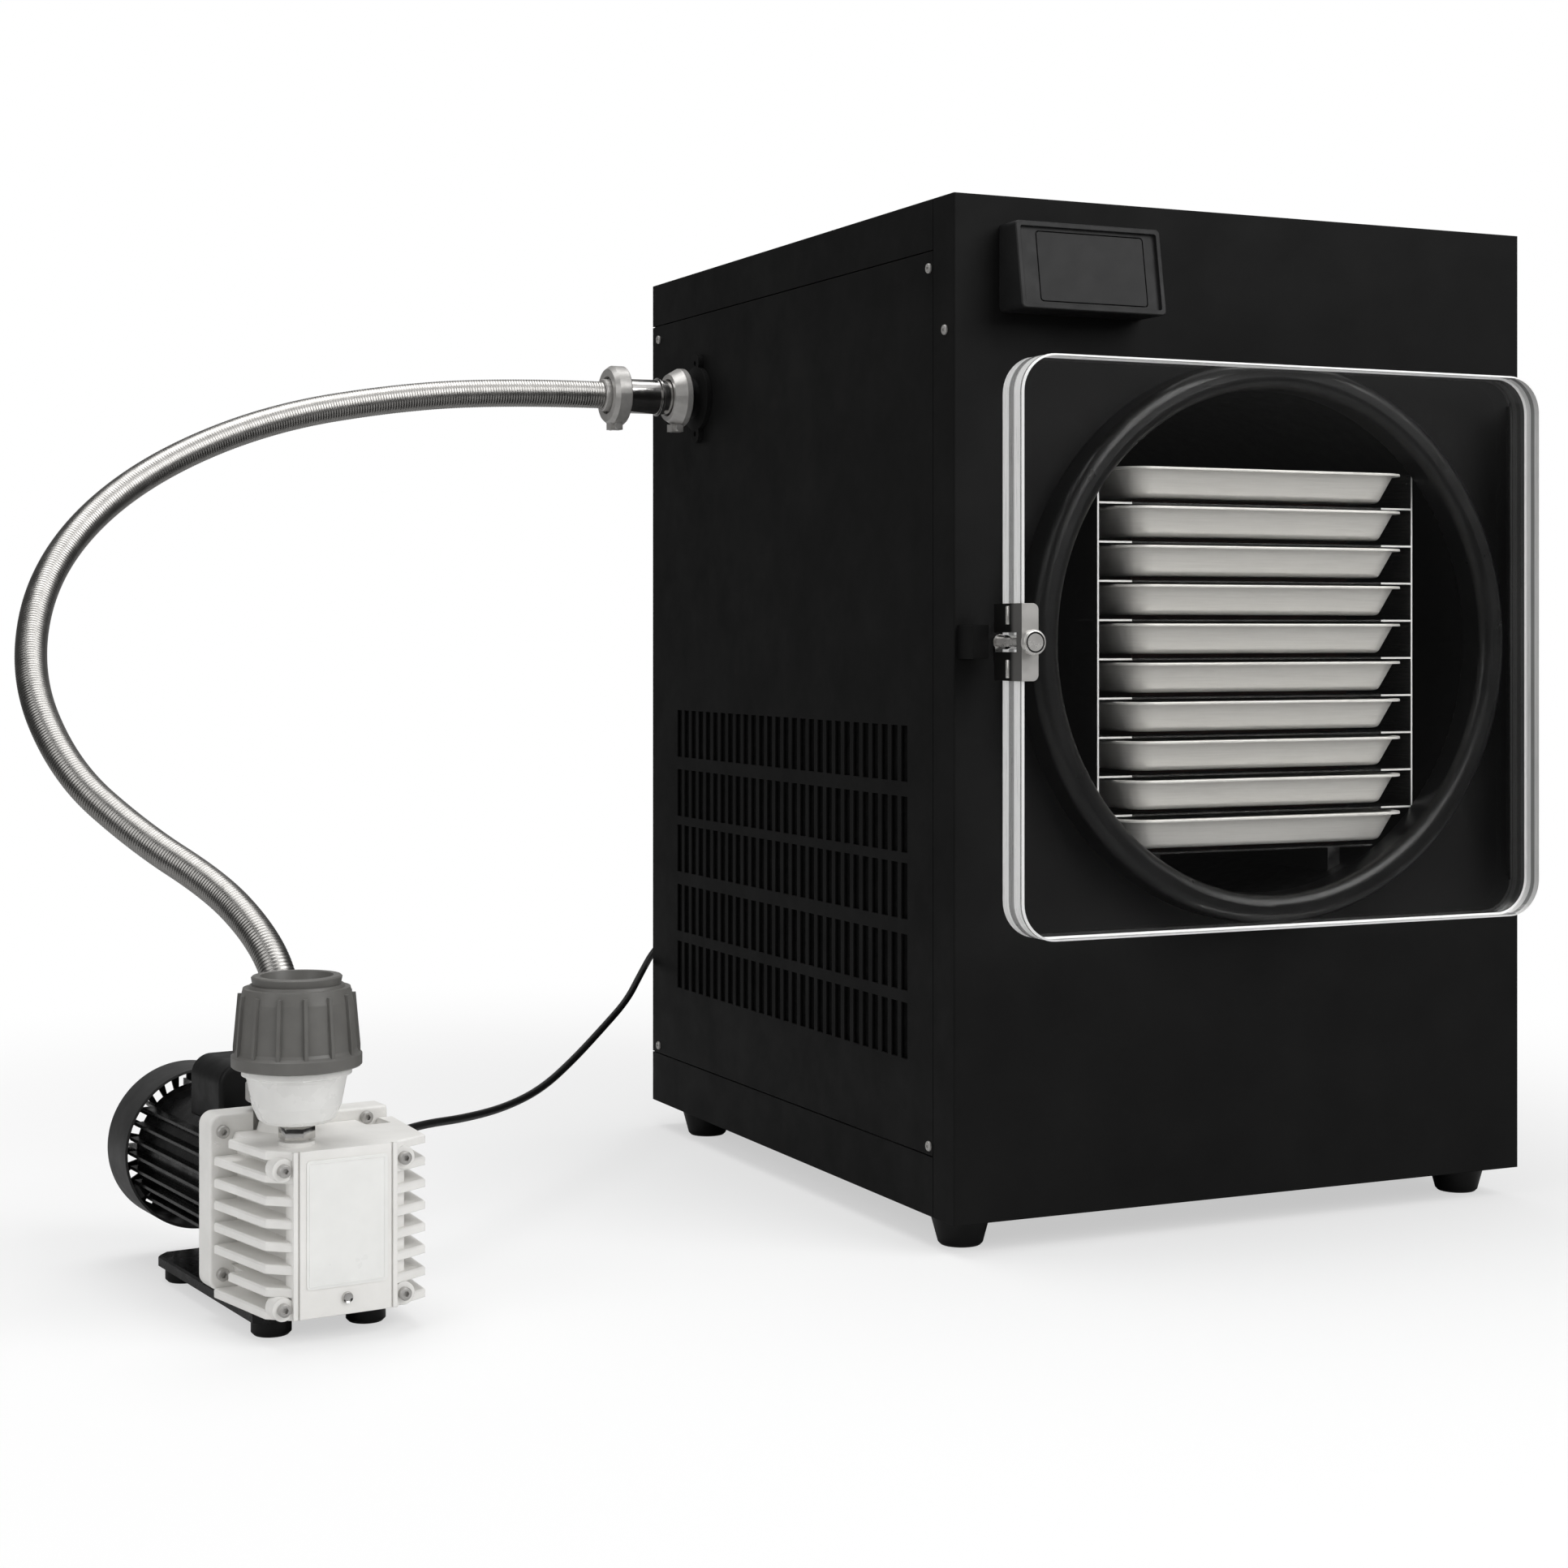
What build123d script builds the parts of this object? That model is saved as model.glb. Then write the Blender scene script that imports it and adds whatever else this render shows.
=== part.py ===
from build123d import *
import math
import os

os.makedirs("parts", exist_ok=True)

# A floor-standing freeze dryer: a sheet-metal cabinet that holds a round vacuum chamber with
# a stack of trays behind a thick clear door, and the oil vacuum pump that stands beside it.
# A stainless hose joins the pump to the cabinet's side port, and the pump's power lead runs
# to the cabinet's rear. Millimetres. While the pieces are made, X = 0 is the cabinet's left
# side, Y = 0 its front face (+Y goes into the cabinet) and Z = 0 the floor. Each piece is
# moved at the end, so that the origin lies on the floor under the middle of the whole.

# ---- clearances -------------------------------------------------------------------------
SEAT = 0.3           # between a curved or soft piece and what it rests on
FIT = 0.1            # between two flat pieces that are screwed together
PIN_PLAY = 0.05      # radial play of a pin or shaft in its bore
SEAM = 1.0           # visible line between two cabinet panels

# ---- chamber's section, which sets the cabinet's width and height -----------------------
CHAMBER_RADIUS = 208.0     # bore
GASKET_OUTER = CHAMBER_RADIUS + 19.0
GASKET_INNER = CHAMBER_RADIUS - 4.5
JACKET_OUTER = CHAMBER_RADIUS + 38.0
WIDTH = 2 * (JACKET_OUTER + 29.0)
CHAMBER_X = WIDTH / 2
DECK_Z = 205.0             # underside of the equipment deck
CHAMBER_Z = DECK_Z + JACKET_OUTER + 26.0
DOOR_HEIGHT = 2 * GASKET_OUTER - 6.0
DOOR_BOTTOM = CHAMBER_Z - DOOR_HEIGHT / 2 - 4.0
HEIGHT = DOOR_BOTTOM + DOOR_HEIGHT + 128.0  # floor to top

# ---- cabinet ----------------------------------------------------------------------------
DEPTH = 622.0
FOOT_HEIGHT = 25.0
FOOT_TOP_DIAMETER = 47.0
FOOT_BOTTOM_DIAMETER = 36.0
FOOT_INSET_X = 30.0
FOOT_FRONT_Y = 45.0
FOOT_REAR_Y = 556.0
SHEET = 1.5
FRONT_RETURN = 34.0  # depth of the front panel's folded sides
BASE_STRIP = 47.0    # height of the base frame's visible strip
TOP_SKIRT = 40.0     # height of the top cover's visible strip
POST_LEG = 24.0      # corner post's leg along the front or the rear
POST_FRONT_LEG = 52.0
POST_REAR_LEG = 26.0

# ---- side vents -------------------------------------------------------------------------
VENT_COLUMNS = 28
VENT_FIRST_Y = 78.0
VENT_PITCH = 17.4
VENT_SLOT = 11.0
VENT_HEIGHT = 45.0
VENT_ROWS = [165.3, 220.0, 277.1, 330.4, 387.3]  # middle heights of the five rows

# ---- panel screws -----------------------------------------------------------------------
SCREW_HEAD = 8.0
SCREW_HEAD_HEIGHT = 2.0
SCREW_SHANK = 4.0
SCREW_LENGTH = 8.0
SCREW_SOCKET = 3.0
SIDE_SCREW_INSET = 6.0     # behind the front seam
SIDE_SCREW_REAR = 16.0     # ahead of the rear face
SIDE_SCREW_TOP = 14.0      # under the top seam
SIDE_SCREW_BOTTOM = 8.0    # above the base seam
RETURN_SCREW_Y = 14.5
RETURN_SCREW_Z = 720.0

# ---- vacuum chamber ---------------------------------------------------------------------
CHAMBER_WALL = 4.0
CHAMBER_DEPTH = 480.0      # front face of the panel to the head's outside
CHAMBER_STICKOUT = 14.0    # rim ahead of the front panel
HEAD_RADIUS = 40.0         # knuckle of the rear head
GASKET_DEPTH = 30.0
GASKET_LIP = 9.0           # rounding of the gasket's sealing edge
COIL_TUBE = 9.5
JACKET_FRONT = 8.0
JACKET_REAR_WALL = 22.0

# ---- trays and rack ---------------------------------------------------------------------
TRAYS = 10
STACK_HEIGHT = 2 * CHAMBER_RADIUS - 106.0
TRAY_PITCH = STACK_HEIGHT / TRAYS
TRAY_HEIGHT = TRAY_PITCH - 7.0
TRAY_WIDTH = 2 * CHAMBER_RADIUS - 140.0     # over the rim
TRAY_BASE_WIDTH = TRAY_WIDTH - 32.0
TRAY_LENGTH = 440.0
TRAY_SHEET = 1.0
TRAY_RIM = 5.0             # width of the flat rim
TRAY_CORNER = 22.0
TRAY_BASE_CORNER = 6.0
TOP_RIM_RISE = STACK_HEIGHT / 2 - 16.5     # top tray's rim above the chamber's axis
TRAY_FRONT = -20.0
RACK_HALF_WIDTH = TRAY_WIDTH / 2 + 15.0
RACK_FRONT = 1.0
RACK_LENGTH = 430.0
RACK_SHEET = 1.5
RACK_LOW = 18.0 - STACK_HEIGHT / 2         # lower edge of the rack's sides, from the chamber's axis
BOTTOM_SHELF_HALF = RACK_HALF_WIDTH - 41.0
RUNNER_X = BOTTOM_SHELF_HALF - 24.0
RUNNER_WIDTH = 12.0
MAT_THICKNESS = 3.5
MAT_MARGIN = 26.0

# ---- display ----------------------------------------------------------------------------
DISPLAY_LEFT = 40.0
DISPLAY_WIDTH = 131.0
DISPLAY_BOTTOM = HEIGHT - 91.0
DISPLAY_HEIGHT = 69.0
DISPLAY_TOP_DEPTH = 25.0
DISPLAY_BOTTOM_DEPTH = 36.0
DISPLAY_RIM = 4.0
DISPLAY_RECESS = 3.0
DISPLAY_CORNER = 4.0
SCREEN_WIDTH = 96.0
SCREEN_HEIGHT = 55.0
SCREEN_THICKNESS = 2.0
SCREEN_OFFSET = 2.0        # the screen sits this far right of the middle
SCREEN_GAP = 0.8

# ---- door -------------------------------------------------------------------------------
DOOR_LEFT = 25.0
DOOR_WIDTH = WIDTH - 54.0
DOOR_THICKNESS = 32.0
DOOR_CORNER = 30.0
DOOR_CHAMFER = 1.6
HINGE_AXIS_X = WIDTH - 15.0
HINGE_AXIS_Y = -15.0
HINGE_KNUCKLE_RADIUS = 8.0
HINGE_PIN_RADIUS = 4.0
HINGE_LEAF = 2.5
HINGE_HEIGHT = DOOR_HEIGHT - 48.0
HINGE_KNUCKLES = 9
KNUCKLE_GAP = 0.6
DOOR_LEAF_INNER_X = CHAMBER_X + GASKET_OUTER + 3.0

# ---- door latch -------------------------------------------------------------------------
LATCH_Z = CHAMBER_Z
SPINDLE_X = DOOR_LEFT + 4.0
SPINDLE_RADIUS = 3.5
NOTCH_HALF = 5.5
CLIP_HEIGHT = 59.0
CLIP_SHEET = 1.5
CLIP_EAR = 13.0            # ear on the door's face, from the door's edge
CLIP_BEHIND = 9.0          # side wall behind the door's rear face
CLIP_WINDOW = 15.0         # height of the window at the spindle
KNOB_RADIUS = 9.7
KNOB_HEIGHT = 6.0
KNOB_STANDOFF = 5.0
COLLAR_RADIUS = 5.5
CAM_LENGTH = 18.0
CAM_WIDTH = 9.0
CAM_THICKNESS = 3.0
CAM_FRONT_Y = -21.0
KEEPER_LEFT = DOOR_LEFT - 21.5
KEEPER_RIGHT = DOOR_LEFT - 8.0
KEEPER_HEIGHT = 26.0
KEEPER_SHEET = 2.0
KEEPER_LIP_GAP = 1.0

# ---- lower compartment ------------------------------------------------------------------
DECK_FLANGE = 22.0
SADDLE_HALF_WIDTH = 150.0
SADDLE_THICKNESS = 12.0
SADDLE_Y = [110.0, 400.0]
COMPRESSOR_X = 170.0
COMPRESSOR_Y = 250.0
COMPRESSOR_RADIUS = 62.0
COMPRESSOR_HEIGHT = 150.0
COMPRESSOR_PLATE = 3.0
COMPRESSOR_FOOT = 10.0
CONDENSER_X = 330.0
CONDENSER_Y = 500.0
CONDENSER_WIDTH = 150.0
CONDENSER_HEIGHT = 150.0
CONDENSER_DEPTH = 44.0
CONDENSER_FINS = 16
FAN_RADIUS = 62.0
FAN_HUB = 17.0
FAN_BLADES = 5
SHROUD_DEPTH = 34.0
CONTROL_X = 385.0
CONTROL_Y = 70.0
CONTROL_SIZE = (120.0, 110.0, 150.0)
SOCKET_X = 60.0
SOCKET_Z = 285.0
SOCKET_SPACING = 62.0
SOCKET_SIZE = (30.0, 24.0)
SOCKET_DEPTH = 26.0
ROCKER_RADIUS = 8.5
ROCKER_WIDTH = 18.0
ROCKER_PIVOT = 1.5
SWITCH_FRAME = 3.0
REAR_SLOTS = 9
REAR_SLOT_Z = 90.0
REAR_SLOT_PITCH = 16.0
REAR_SLOT_HEIGHT = 8.0

# ---- vacuum line ------------------------------------------------------------------------
PORT_Y = 504.0
PORT_Z = 705.0
LINE_BORE = 26.0
LINE_WALL = 3.0
FLANGE_PLATE_RADIUS = 30.0
FLANGE_PLATE = 5.0
FLANGE_LUG = 33.0          # eyelet's distance from the axis
PORT_CLAMP_X = -25.0       # middle of the clamp at the port
HOSE_CLAMP_X = -86.0
CLAMP_RADIUS = 27.5
CLAMP_WIDTH = 16.0
CLAMP_GROOVE = 8.0
KF_RADIUS = 20.0
KF_THICKNESS = 3.0
LINE_EXIT_RISE = CHAMBER_RADIUS - 58.0     # line's hole in the chamber's head, above the chamber's axis
LINE_BEND = 28.0
HOSE_DIAMETER = 25.0
HOSE_COLLAR = 10.0         # collar of the hose end beyond its flange

# ---- pump -------------------------------------------------------------------------------
PUMP_X = -492.7            # middle of the front plate
PUMP_Y = -38.0
PUMP_YAW = 7.0             # the pump's rear swings away from the cabinet
CASE_TOP = 133.0
FLANGE_RISE = 3.0          # the flange's underside above the case's
CASE_PLATE_HALF = 38.0
CASE_FRONT_HALF = 52.0
CASE_SIDE_HALF = 61.0
CASE_RIGHT_EXTRA = 14.0    # the case reaches this much farther to its right
CASE_DEPTH = 92.0
CASE_FIN_LENGTH = 18.0
CASE_FINS = 8
CASE_FIN_THICKNESS = 6.0
PLATE_PROUD = 2.0
PLATE_GROOVE = 1.5
FLANGE_HALF = 63.0
FLANGE_RIGHT_EXTRA = 8.0
FLANGE_STEP = 5.0          # the flange's right shoulder is this much lower
FLANGE_HEIGHT = 124.0
FLANGE_DEPTH = 22.0
FLANGE_CORNER = 9.0
MOTOR_RADIUS = 50.0
MOTOR_FIN = 6.0
MOTOR_LENGTH = 190.0
MOTOR_Z = 86.0
COWL_RADIUS = 62.0
COWL_LENGTH = 50.0
COWL_WALL = 2.0
COWL_OVERLAP = 22.0        # how far the cowl reaches over the motor's fins
MOTOR_FINS = 7
MOTOR_FIN_PITCH = 11.0
ROTOR_SHAFT = 6.0
COWL_SLOTS = 24
COWL_SLOT_INNER = 34.0
PAD_ANGLES = (0, 120, 240)
CAPACITOR_V = 160.0
CAPACITOR_DEPTH = 62.0
CAPACITOR_HALF = 31.0
CAPACITOR_TOP = 169.0
CASE_BOSS_U = 44.0
CASE_SCREW = 4.5
FOOT_PAD = 11.0            # height of the pump's rubber feet
PAD_RADIUS = 14.0
PAD_INSET = 17.0
BASE_FRONT = 30.0
BASE_LENGTH = 213.0
BASE_HALF = 52.0
BASE_THICKNESS = 8.0
PEDESTAL_TOP = 32.0        # top of the base's pedestal under the motor
INLET_U = -10.0
INLET_V = 86.0
INLET_NECK = 26.0
FILTER_U = -25.0
FILTER_V = 25.0
FILTER_STEM = 8.5
FILTER_STEM_HEIGHT = 16.0
BOWL_HEIGHT = 38.0
BOWL_BOTTOM_RADIUS = 26.5
BOWL_TOP_RADIUS = 36.0
CAP_HEIGHT = 62.0
CAP_RADIUS = 44.5
CAP_BODY_RADIUS = 41.0
CAP_TOP_RADIUS = 30.0
CAP_RIBS = 14
GLAND_U = 76.0
GLAND_V = 168.0
GLAND_Z = 104.0
CABLE_DIAMETER = 6.5

# ---- routes of the free hose and lead, in the cabinet's frame ---------------------------
HOSE_ROUTE = [
    (-99, 504, 705), (-175, 504, 705), (-287, 503, 697), (-422, 490, 670.5), (-542, 457, 614),
    (-620, 401, 540), (-649, 330, 454), (-630, 258, 379), (-585, 198, 331), (-542, 136, 298),
    (-523.3, 88, 270), (-513.8, 57, 241), (-513.1, 46.1, 207), (-513.1, 46.1, 175),
]
CABLE_ROUTE = [
    (-434, 138, 104), (-408, 141.2, 104), (-375, 167, 105), (-325, 215, 98), (-269, 280, 92),
    (-214, 346, 93), (-160, 415, 104), (-106, 483, 120), (-57, 546, 135), (-18, 609, 151),
    (15, 653, 170), (47, 662, 190), (59, 656, 215), (60, 652, 238), (60, 652, 260),
]


# ---- helpers ----------------------------------------------------------------------------
def block(x0, x1, y0, y1, z0, z1):
    """A box between two corners."""
    return Pos((x0 + x1) / 2, (y0 + y1) / 2, (z0 + z1) / 2) * Box(x1 - x0, y1 - y0, z1 - z0)


def rod_x(x0, x1, y, z, radius):
    return Pos((x0 + x1) / 2, y, z) * Rot(0, 90, 0) * Cylinder(radius, x1 - x0)


def rod_y(x, y0, y1, z, radius):
    return Pos(x, (y0 + y1) / 2, z) * Rot(90, 0, 0) * Cylinder(radius, y1 - y0)


def rod_z(x, y, z0, z1, radius):
    return Pos(x, y, (z0 + z1) / 2) * Cylinder(radius, z1 - z0)


def turned(points, axis=Axis.Z):
    """A turned piece: an outline of (radius, height) points, spun about Z."""
    face = Plane.XZ * make_face(Polyline(*points, close=True))
    return revolve(face, axis=axis)


def prism_y(face, y0, y1):
    """A face drawn with X across and Z up, pushed from y0 to y1."""
    plane = Plane(origin=(0, y0, 0), x_dir=(1, 0, 0), z_dir=(0, -1, 0))
    return extrude(plane * face, amount=-(y1 - y0))


def prism_z(face, z0, z1):
    return extrude(Pos(0, 0, z0) * face, amount=z1 - z0)


def along_x(piece, x, y, z):
    """Turn a piece made about Z so that its +Z looks along -X, and place it."""
    return Pos(x, y, z) * Rot(0, -90, 0) * piece


def tube(route, diameter):
    """A cord's tube: straight runs joined by tangent arcs, and the path's length."""
    points = [Vector(*p) for p in route]
    runs = [(b - a).length for a, b in zip(points, points[1:])]
    radii = []
    for i in range(1, len(points) - 1):
        turn = (points[i] - points[i - 1]).get_angle(points[i + 1] - points[i])
        radii.append(0.45 * min(runs[i - 1], runs[i]) / math.tan(math.radians(turn) / 2))
    path = FilletPolyline(*points, radius=radii)
    start = Plane(origin=points[0], z_dir=points[1] - points[0])
    solid = sweep(start * Circle(diameter / 2), path=path)
    section = math.pi * diameter ** 2 / 4
    print("radii", [round(r) for r in radii], "runs", [round(r) for r in runs])
    print("length", round(path.length, 1), "volume ratio", round(solid.volume / section / path.length, 4))
    return solid


def in_pump(piece):
    """Place a piece made in the pump's own frame: +X right, +Y to its rear, +Z up."""
    return Pos(PUMP_X, PUMP_Y, 0) * Rot(0, 0, PUMP_YAW) * piece


# ---- cabinet ----------------------------------------------------------------------------
SEAM_Y = FRONT_RETURN + SEAM       # front edge of the side panels
BASE_TOP_Z = FOOT_HEIGHT + BASE_STRIP
SKIRT_Z = HEIGHT - TOP_SKIRT


def mirrored(piece):
    """The same piece on the cabinet's other side."""
    return mirror(piece, about=Plane(origin=(WIDTH / 2, 0, 0), z_dir=(1, 0, 0)))


def base_frame():
    """Welded base pan with four corner posts."""
    pan = block(0, WIDTH, SEAM_Y, DEPTH, FOOT_HEIGHT, BASE_TOP_Z)
    pan -= block(SHEET, WIDTH - SHEET, SEAM_Y + SHEET, DEPTH - SHEET,
                 FOOT_HEIGHT + SHEET, BASE_TOP_Z + 1)
    x0 = SHEET + FIT
    y1 = DEPTH - SHEET - FIT
    low, high = FOOT_HEIGHT + SHEET + FIT, HEIGHT - SHEET - FIT
    posts = block(x0, x0 + SHEET, x0, POST_FRONT_LEG, low, high)
    posts += block(x0, x0 + POST_LEG, x0, x0 + SHEET, low, high)
    posts += block(x0, x0 + SHEET, DEPTH - POST_REAR_LEG, y1, FOOT_HEIGHT + SHEET / 2, high)
    posts += block(x0, x0 + POST_LEG, y1 - SHEET, y1, FOOT_HEIGHT + SHEET / 2, high)
    frame = pan + posts + mirrored(posts)
    for y, z in screw_places():
        frame -= rod_x(-1, 3 * SHEET, y, z, SCREW_SHANK / 2 + PIN_PLAY)
        frame -= rod_x(WIDTH - 3 * SHEET, WIDTH + 1, y, z, SCREW_SHANK / 2 + PIN_PLAY)
    for x, y in foot_places():
        frame -= rod_z(x, y, FOOT_HEIGHT - 1, FOOT_HEIGHT + SHEET + 1, SCREW_SHANK + PIN_PLAY)
    return frame


def screw_places():
    """Middle of each screw on a side, as (y, z)."""
    front_y = SEAM_Y + SIDE_SCREW_INSET
    rear_y = DEPTH - SIDE_SCREW_REAR
    high = SKIRT_Z - SIDE_SCREW_TOP
    low = BASE_TOP_Z + SIDE_SCREW_BOTTOM
    return [(front_y, high), (front_y, low), (rear_y, high), (rear_y, low),
            (RETURN_SCREW_Y, RETURN_SCREW_Z)]


def foot_places():
    return [(x, y) for x in (FOOT_INSET_X, WIDTH - FOOT_INSET_X)
            for y in (FOOT_FRONT_Y, FOOT_REAR_Y)]


def screw_holes():
    holes = None
    for y, z in screw_places():
        hole = rod_x(-2, WIDTH + 2, y, z, SCREW_SHANK / 2 + PIN_PLAY)
        holes = hole if holes is None else holes + hole
    return holes


def front_panel():
    """Folded front panel with the chamber's opening and the hinge and latch holes."""
    panel = block(0, WIDTH, 0, FRONT_RETURN, FOOT_HEIGHT, HEIGHT)
    panel -= block(SHEET, WIDTH - SHEET, SHEET, FRONT_RETURN + 1, FOOT_HEIGHT + SHEET, HEIGHT - SHEET)
    panel = fillet(panel.edges().filter_by(Axis.Z).sort_by(Axis.Y)[:2], 1.2)
    panel -= rod_y(CHAMBER_X, -1, SHEET + 1, CHAMBER_Z, CHAMBER_RADIUS + CHAMBER_WALL + SEAT)
    return panel - screw_holes()


def vent_slots(x0, x1):
    """The five rows of upright slots of one side."""
    slots = []
    for z in VENT_ROWS:
        for i in range(VENT_COLUMNS):
            y = VENT_FIRST_Y + i * VENT_PITCH
            slots.append(block(x0, x1, y, y + VENT_SLOT, z - VENT_HEIGHT / 2, z + VENT_HEIGHT / 2))
    return slots


def side_panel():
    panel = block(0, SHEET, SEAM_Y, DEPTH, BASE_TOP_Z + SEAM, SKIRT_Z - SEAM)
    panel = panel.cut(*vent_slots(-1, SHEET + 1))
    return panel - screw_holes()


def left_side_panel():
    hole = rod_x(-1, SHEET + 1, PORT_Y, PORT_Z, LINE_BORE / 2 + LINE_WALL + SEAT)
    return side_panel() - hole


def right_side_panel():
    return mirrored(side_panel())


def top_cover():
    cover = block(0, WIDTH, SEAM_Y, DEPTH, SKIRT_Z, HEIGHT)
    return cover - block(SHEET, WIDTH - SHEET, SEAM_Y - 1, DEPTH - SHEET, SKIRT_Z - 1, HEIGHT - SHEET)


def rear_panel():
    """Rear panel with the sockets' cutouts and the condenser's outlet slots."""
    y0 = DEPTH - SHEET
    panel = block(SHEET + FIT, WIDTH - SHEET - FIT, y0, DEPTH, BASE_TOP_Z + SEAM, SKIRT_Z - SEAM)
    w, h = SOCKET_SIZE
    for i in range(2):
        z = SOCKET_Z + i * SOCKET_SPACING
        panel -= block(SOCKET_X - w / 2 - FIT, SOCKET_X + w / 2 + FIT, y0 - 1, DEPTH + 1,
                       z - h / 2 - FIT, z + h / 2 + FIT)
    z = SOCKET_Z + 2 * SOCKET_SPACING
    w, h = switch_half_size()
    panel -= block(SOCKET_X - w - FIT, SOCKET_X + w + FIT, y0 - 1, DEPTH + 1, z - h - FIT, z + h + FIT)
    slots = []
    for i in range(REAR_SLOTS):
        z = REAR_SLOT_Z + i * REAR_SLOT_PITCH
        slots.append(block(CONDENSER_X - CONDENSER_WIDTH / 2, CONDENSER_X + CONDENSER_WIDTH / 2,
                           y0 - 1, DEPTH + 1, z, z + REAR_SLOT_HEIGHT))
    return panel.cut(*slots)


def cabinet_feet():
    """Four tapered rubber feet, each with a stud through the base pan."""
    r0, r1 = FOOT_BOTTOM_DIAMETER / 2, FOOT_TOP_DIAMETER / 2
    stud = SCREW_SHANK
    outline = [(0, 0), (r0 - 2, 0), (r0, 2), (r1, FOOT_HEIGHT - 3), (r1, FOOT_HEIGHT),
               (stud, FOOT_HEIGHT), (stud, FOOT_HEIGHT + SHEET), (stud + 3, FOOT_HEIGHT + SHEET),
               (stud + 3, FOOT_HEIGHT + SHEET + 4), (0, FOOT_HEIGHT + SHEET + 4)]
    return [Pos(x, y, 0) * turned(outline) for x, y in foot_places()]


def panel_screws():
    """Domed socket screws of both sides, heads on the panels' outer faces."""
    head = Cylinder(SCREW_HEAD / 2, SCREW_HEAD_HEIGHT, align=(Align.CENTER, Align.CENTER, Align.MIN))
    head = fillet(head.edges().sort_by(Axis.Z)[-1], 1.2)
    socket = Pos(0, 0, SCREW_HEAD_HEIGHT) * extrude(RegularPolygon(SCREW_SOCKET / 2, 6), amount=-1.4)
    shank = Cylinder(SCREW_SHANK / 2, SCREW_LENGTH, align=(Align.CENTER, Align.CENTER, Align.MAX))
    screw = head - socket + shank
    left = [along_x(screw, 0, y, z) for y, z in screw_places()]
    return left + [mirrored(s) for s in left]


# ---- vacuum chamber ---------------------------------------------------------------------
CHAMBER_OUTER = CHAMBER_RADIUS + CHAMBER_WALL
JACKET_REAR = CHAMBER_DEPTH + SEAT + JACKET_REAR_WALL


def about_chamber(piece):
    """Place a piece made about Z, whose +Z looks into the cabinet along +Y."""
    return Pos(CHAMBER_X, 0, CHAMBER_Z) * Rot(-90, 0, 0) * piece


def vacuum_chamber():
    """Round chamber: a tube and a knuckled rear head with the vacuum line's hole in it."""
    outer = Cylinder(CHAMBER_OUTER, CHAMBER_DEPTH + CHAMBER_STICKOUT,
                     align=(Align.CENTER, Align.CENTER, Align.MIN))
    outer = fillet(outer.edges().sort_by(Axis.Z)[-1], HEAD_RADIUS)
    inner = Cylinder(CHAMBER_RADIUS, CHAMBER_DEPTH + CHAMBER_STICKOUT - CHAMBER_WALL,
                     align=(Align.CENTER, Align.CENTER, Align.MIN))
    inner = fillet(inner.edges().sort_by(Axis.Z)[-1], HEAD_RADIUS - CHAMBER_WALL)
    shell = about_chamber(Pos(0, 0, -CHAMBER_STICKOUT) * (outer - inner))
    shell -= rod_y(CHAMBER_X, CHAMBER_DEPTH - 30, CHAMBER_DEPTH + 1, LINE_EXIT_Z, LINE_BORE / 2)
    seam, reach = CHAMBER_DEPTH - HEAD_RADIUS, CHAMBER_OUTER + 1
    spans = ((-CHAMBER_STICKOUT - 1, seam), (seam + FIT, CHAMBER_DEPTH + 1))
    return [shell & block(CHAMBER_X - reach, CHAMBER_X + reach, y0, y1, CHAMBER_Z - reach, CHAMBER_Z + reach)
            for y0, y1 in spans]


def insulation_jacket():
    """Foam round the chamber with the evaporator's tube foamed in, open to the vacuum line."""
    length = JACKET_REAR - JACKET_FRONT
    jacket = Cylinder(JACKET_OUTER, length, align=(Align.CENTER, Align.CENTER, Align.MIN))
    jacket -= Cylinder(CHAMBER_OUTER + SEAT, CHAMBER_DEPTH + SEAT - JACKET_FRONT,
                       align=(Align.CENTER, Align.CENTER, Align.MIN))
    jacket = about_chamber(Pos(0, 0, JACKET_FRONT) * jacket)
    hole = LINE_BORE / 2 + LINE_WALL + SEAT
    return jacket - rod_y(CHAMBER_X, CHAMBER_DEPTH - 1, JACKET_REAR + 1, LINE_EXIT_Z, hole)


def door_gasket():
    """Thick rubber ring that slips over the chamber's rim and seals on the door."""
    r0, r1, d = GASKET_INNER, GASKET_OUTER, GASKET_DEPTH
    outline = Pos((r0 + r1) / 2, d / 2) * Rectangle(r1 - r0, d)
    outline = fillet(outline.vertices().group_by(Axis.Y)[-1], GASKET_LIP)
    outline = fillet(outline.vertices().group_by(Axis.Y)[0], 1.5)
    ring = revolve(Plane.XZ * outline, axis=Axis.Z)
    groove = Cylinder(CHAMBER_OUTER + SEAT, CHAMBER_STICKOUT + SEAT,
                      align=(Align.CENTER, Align.CENTER, Align.MIN))
    groove -= Cylinder(CHAMBER_RADIUS - SEAT, CHAMBER_STICKOUT + SEAT,
                       align=(Align.CENTER, Align.CENTER, Align.MIN))
    return Pos(CHAMBER_X, -FIT, CHAMBER_Z) * Rot(90, 0, 0) * (ring - groove)


# ---- rack and trays ---------------------------------------------------------------------
TOP_RIM_Z = CHAMBER_Z + TOP_RIM_RISE


def tray_floor_z(i):
    """Underside of tray i, counted from the top."""
    return TOP_RIM_Z - i * TRAY_PITCH - TRAY_HEIGHT


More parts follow.
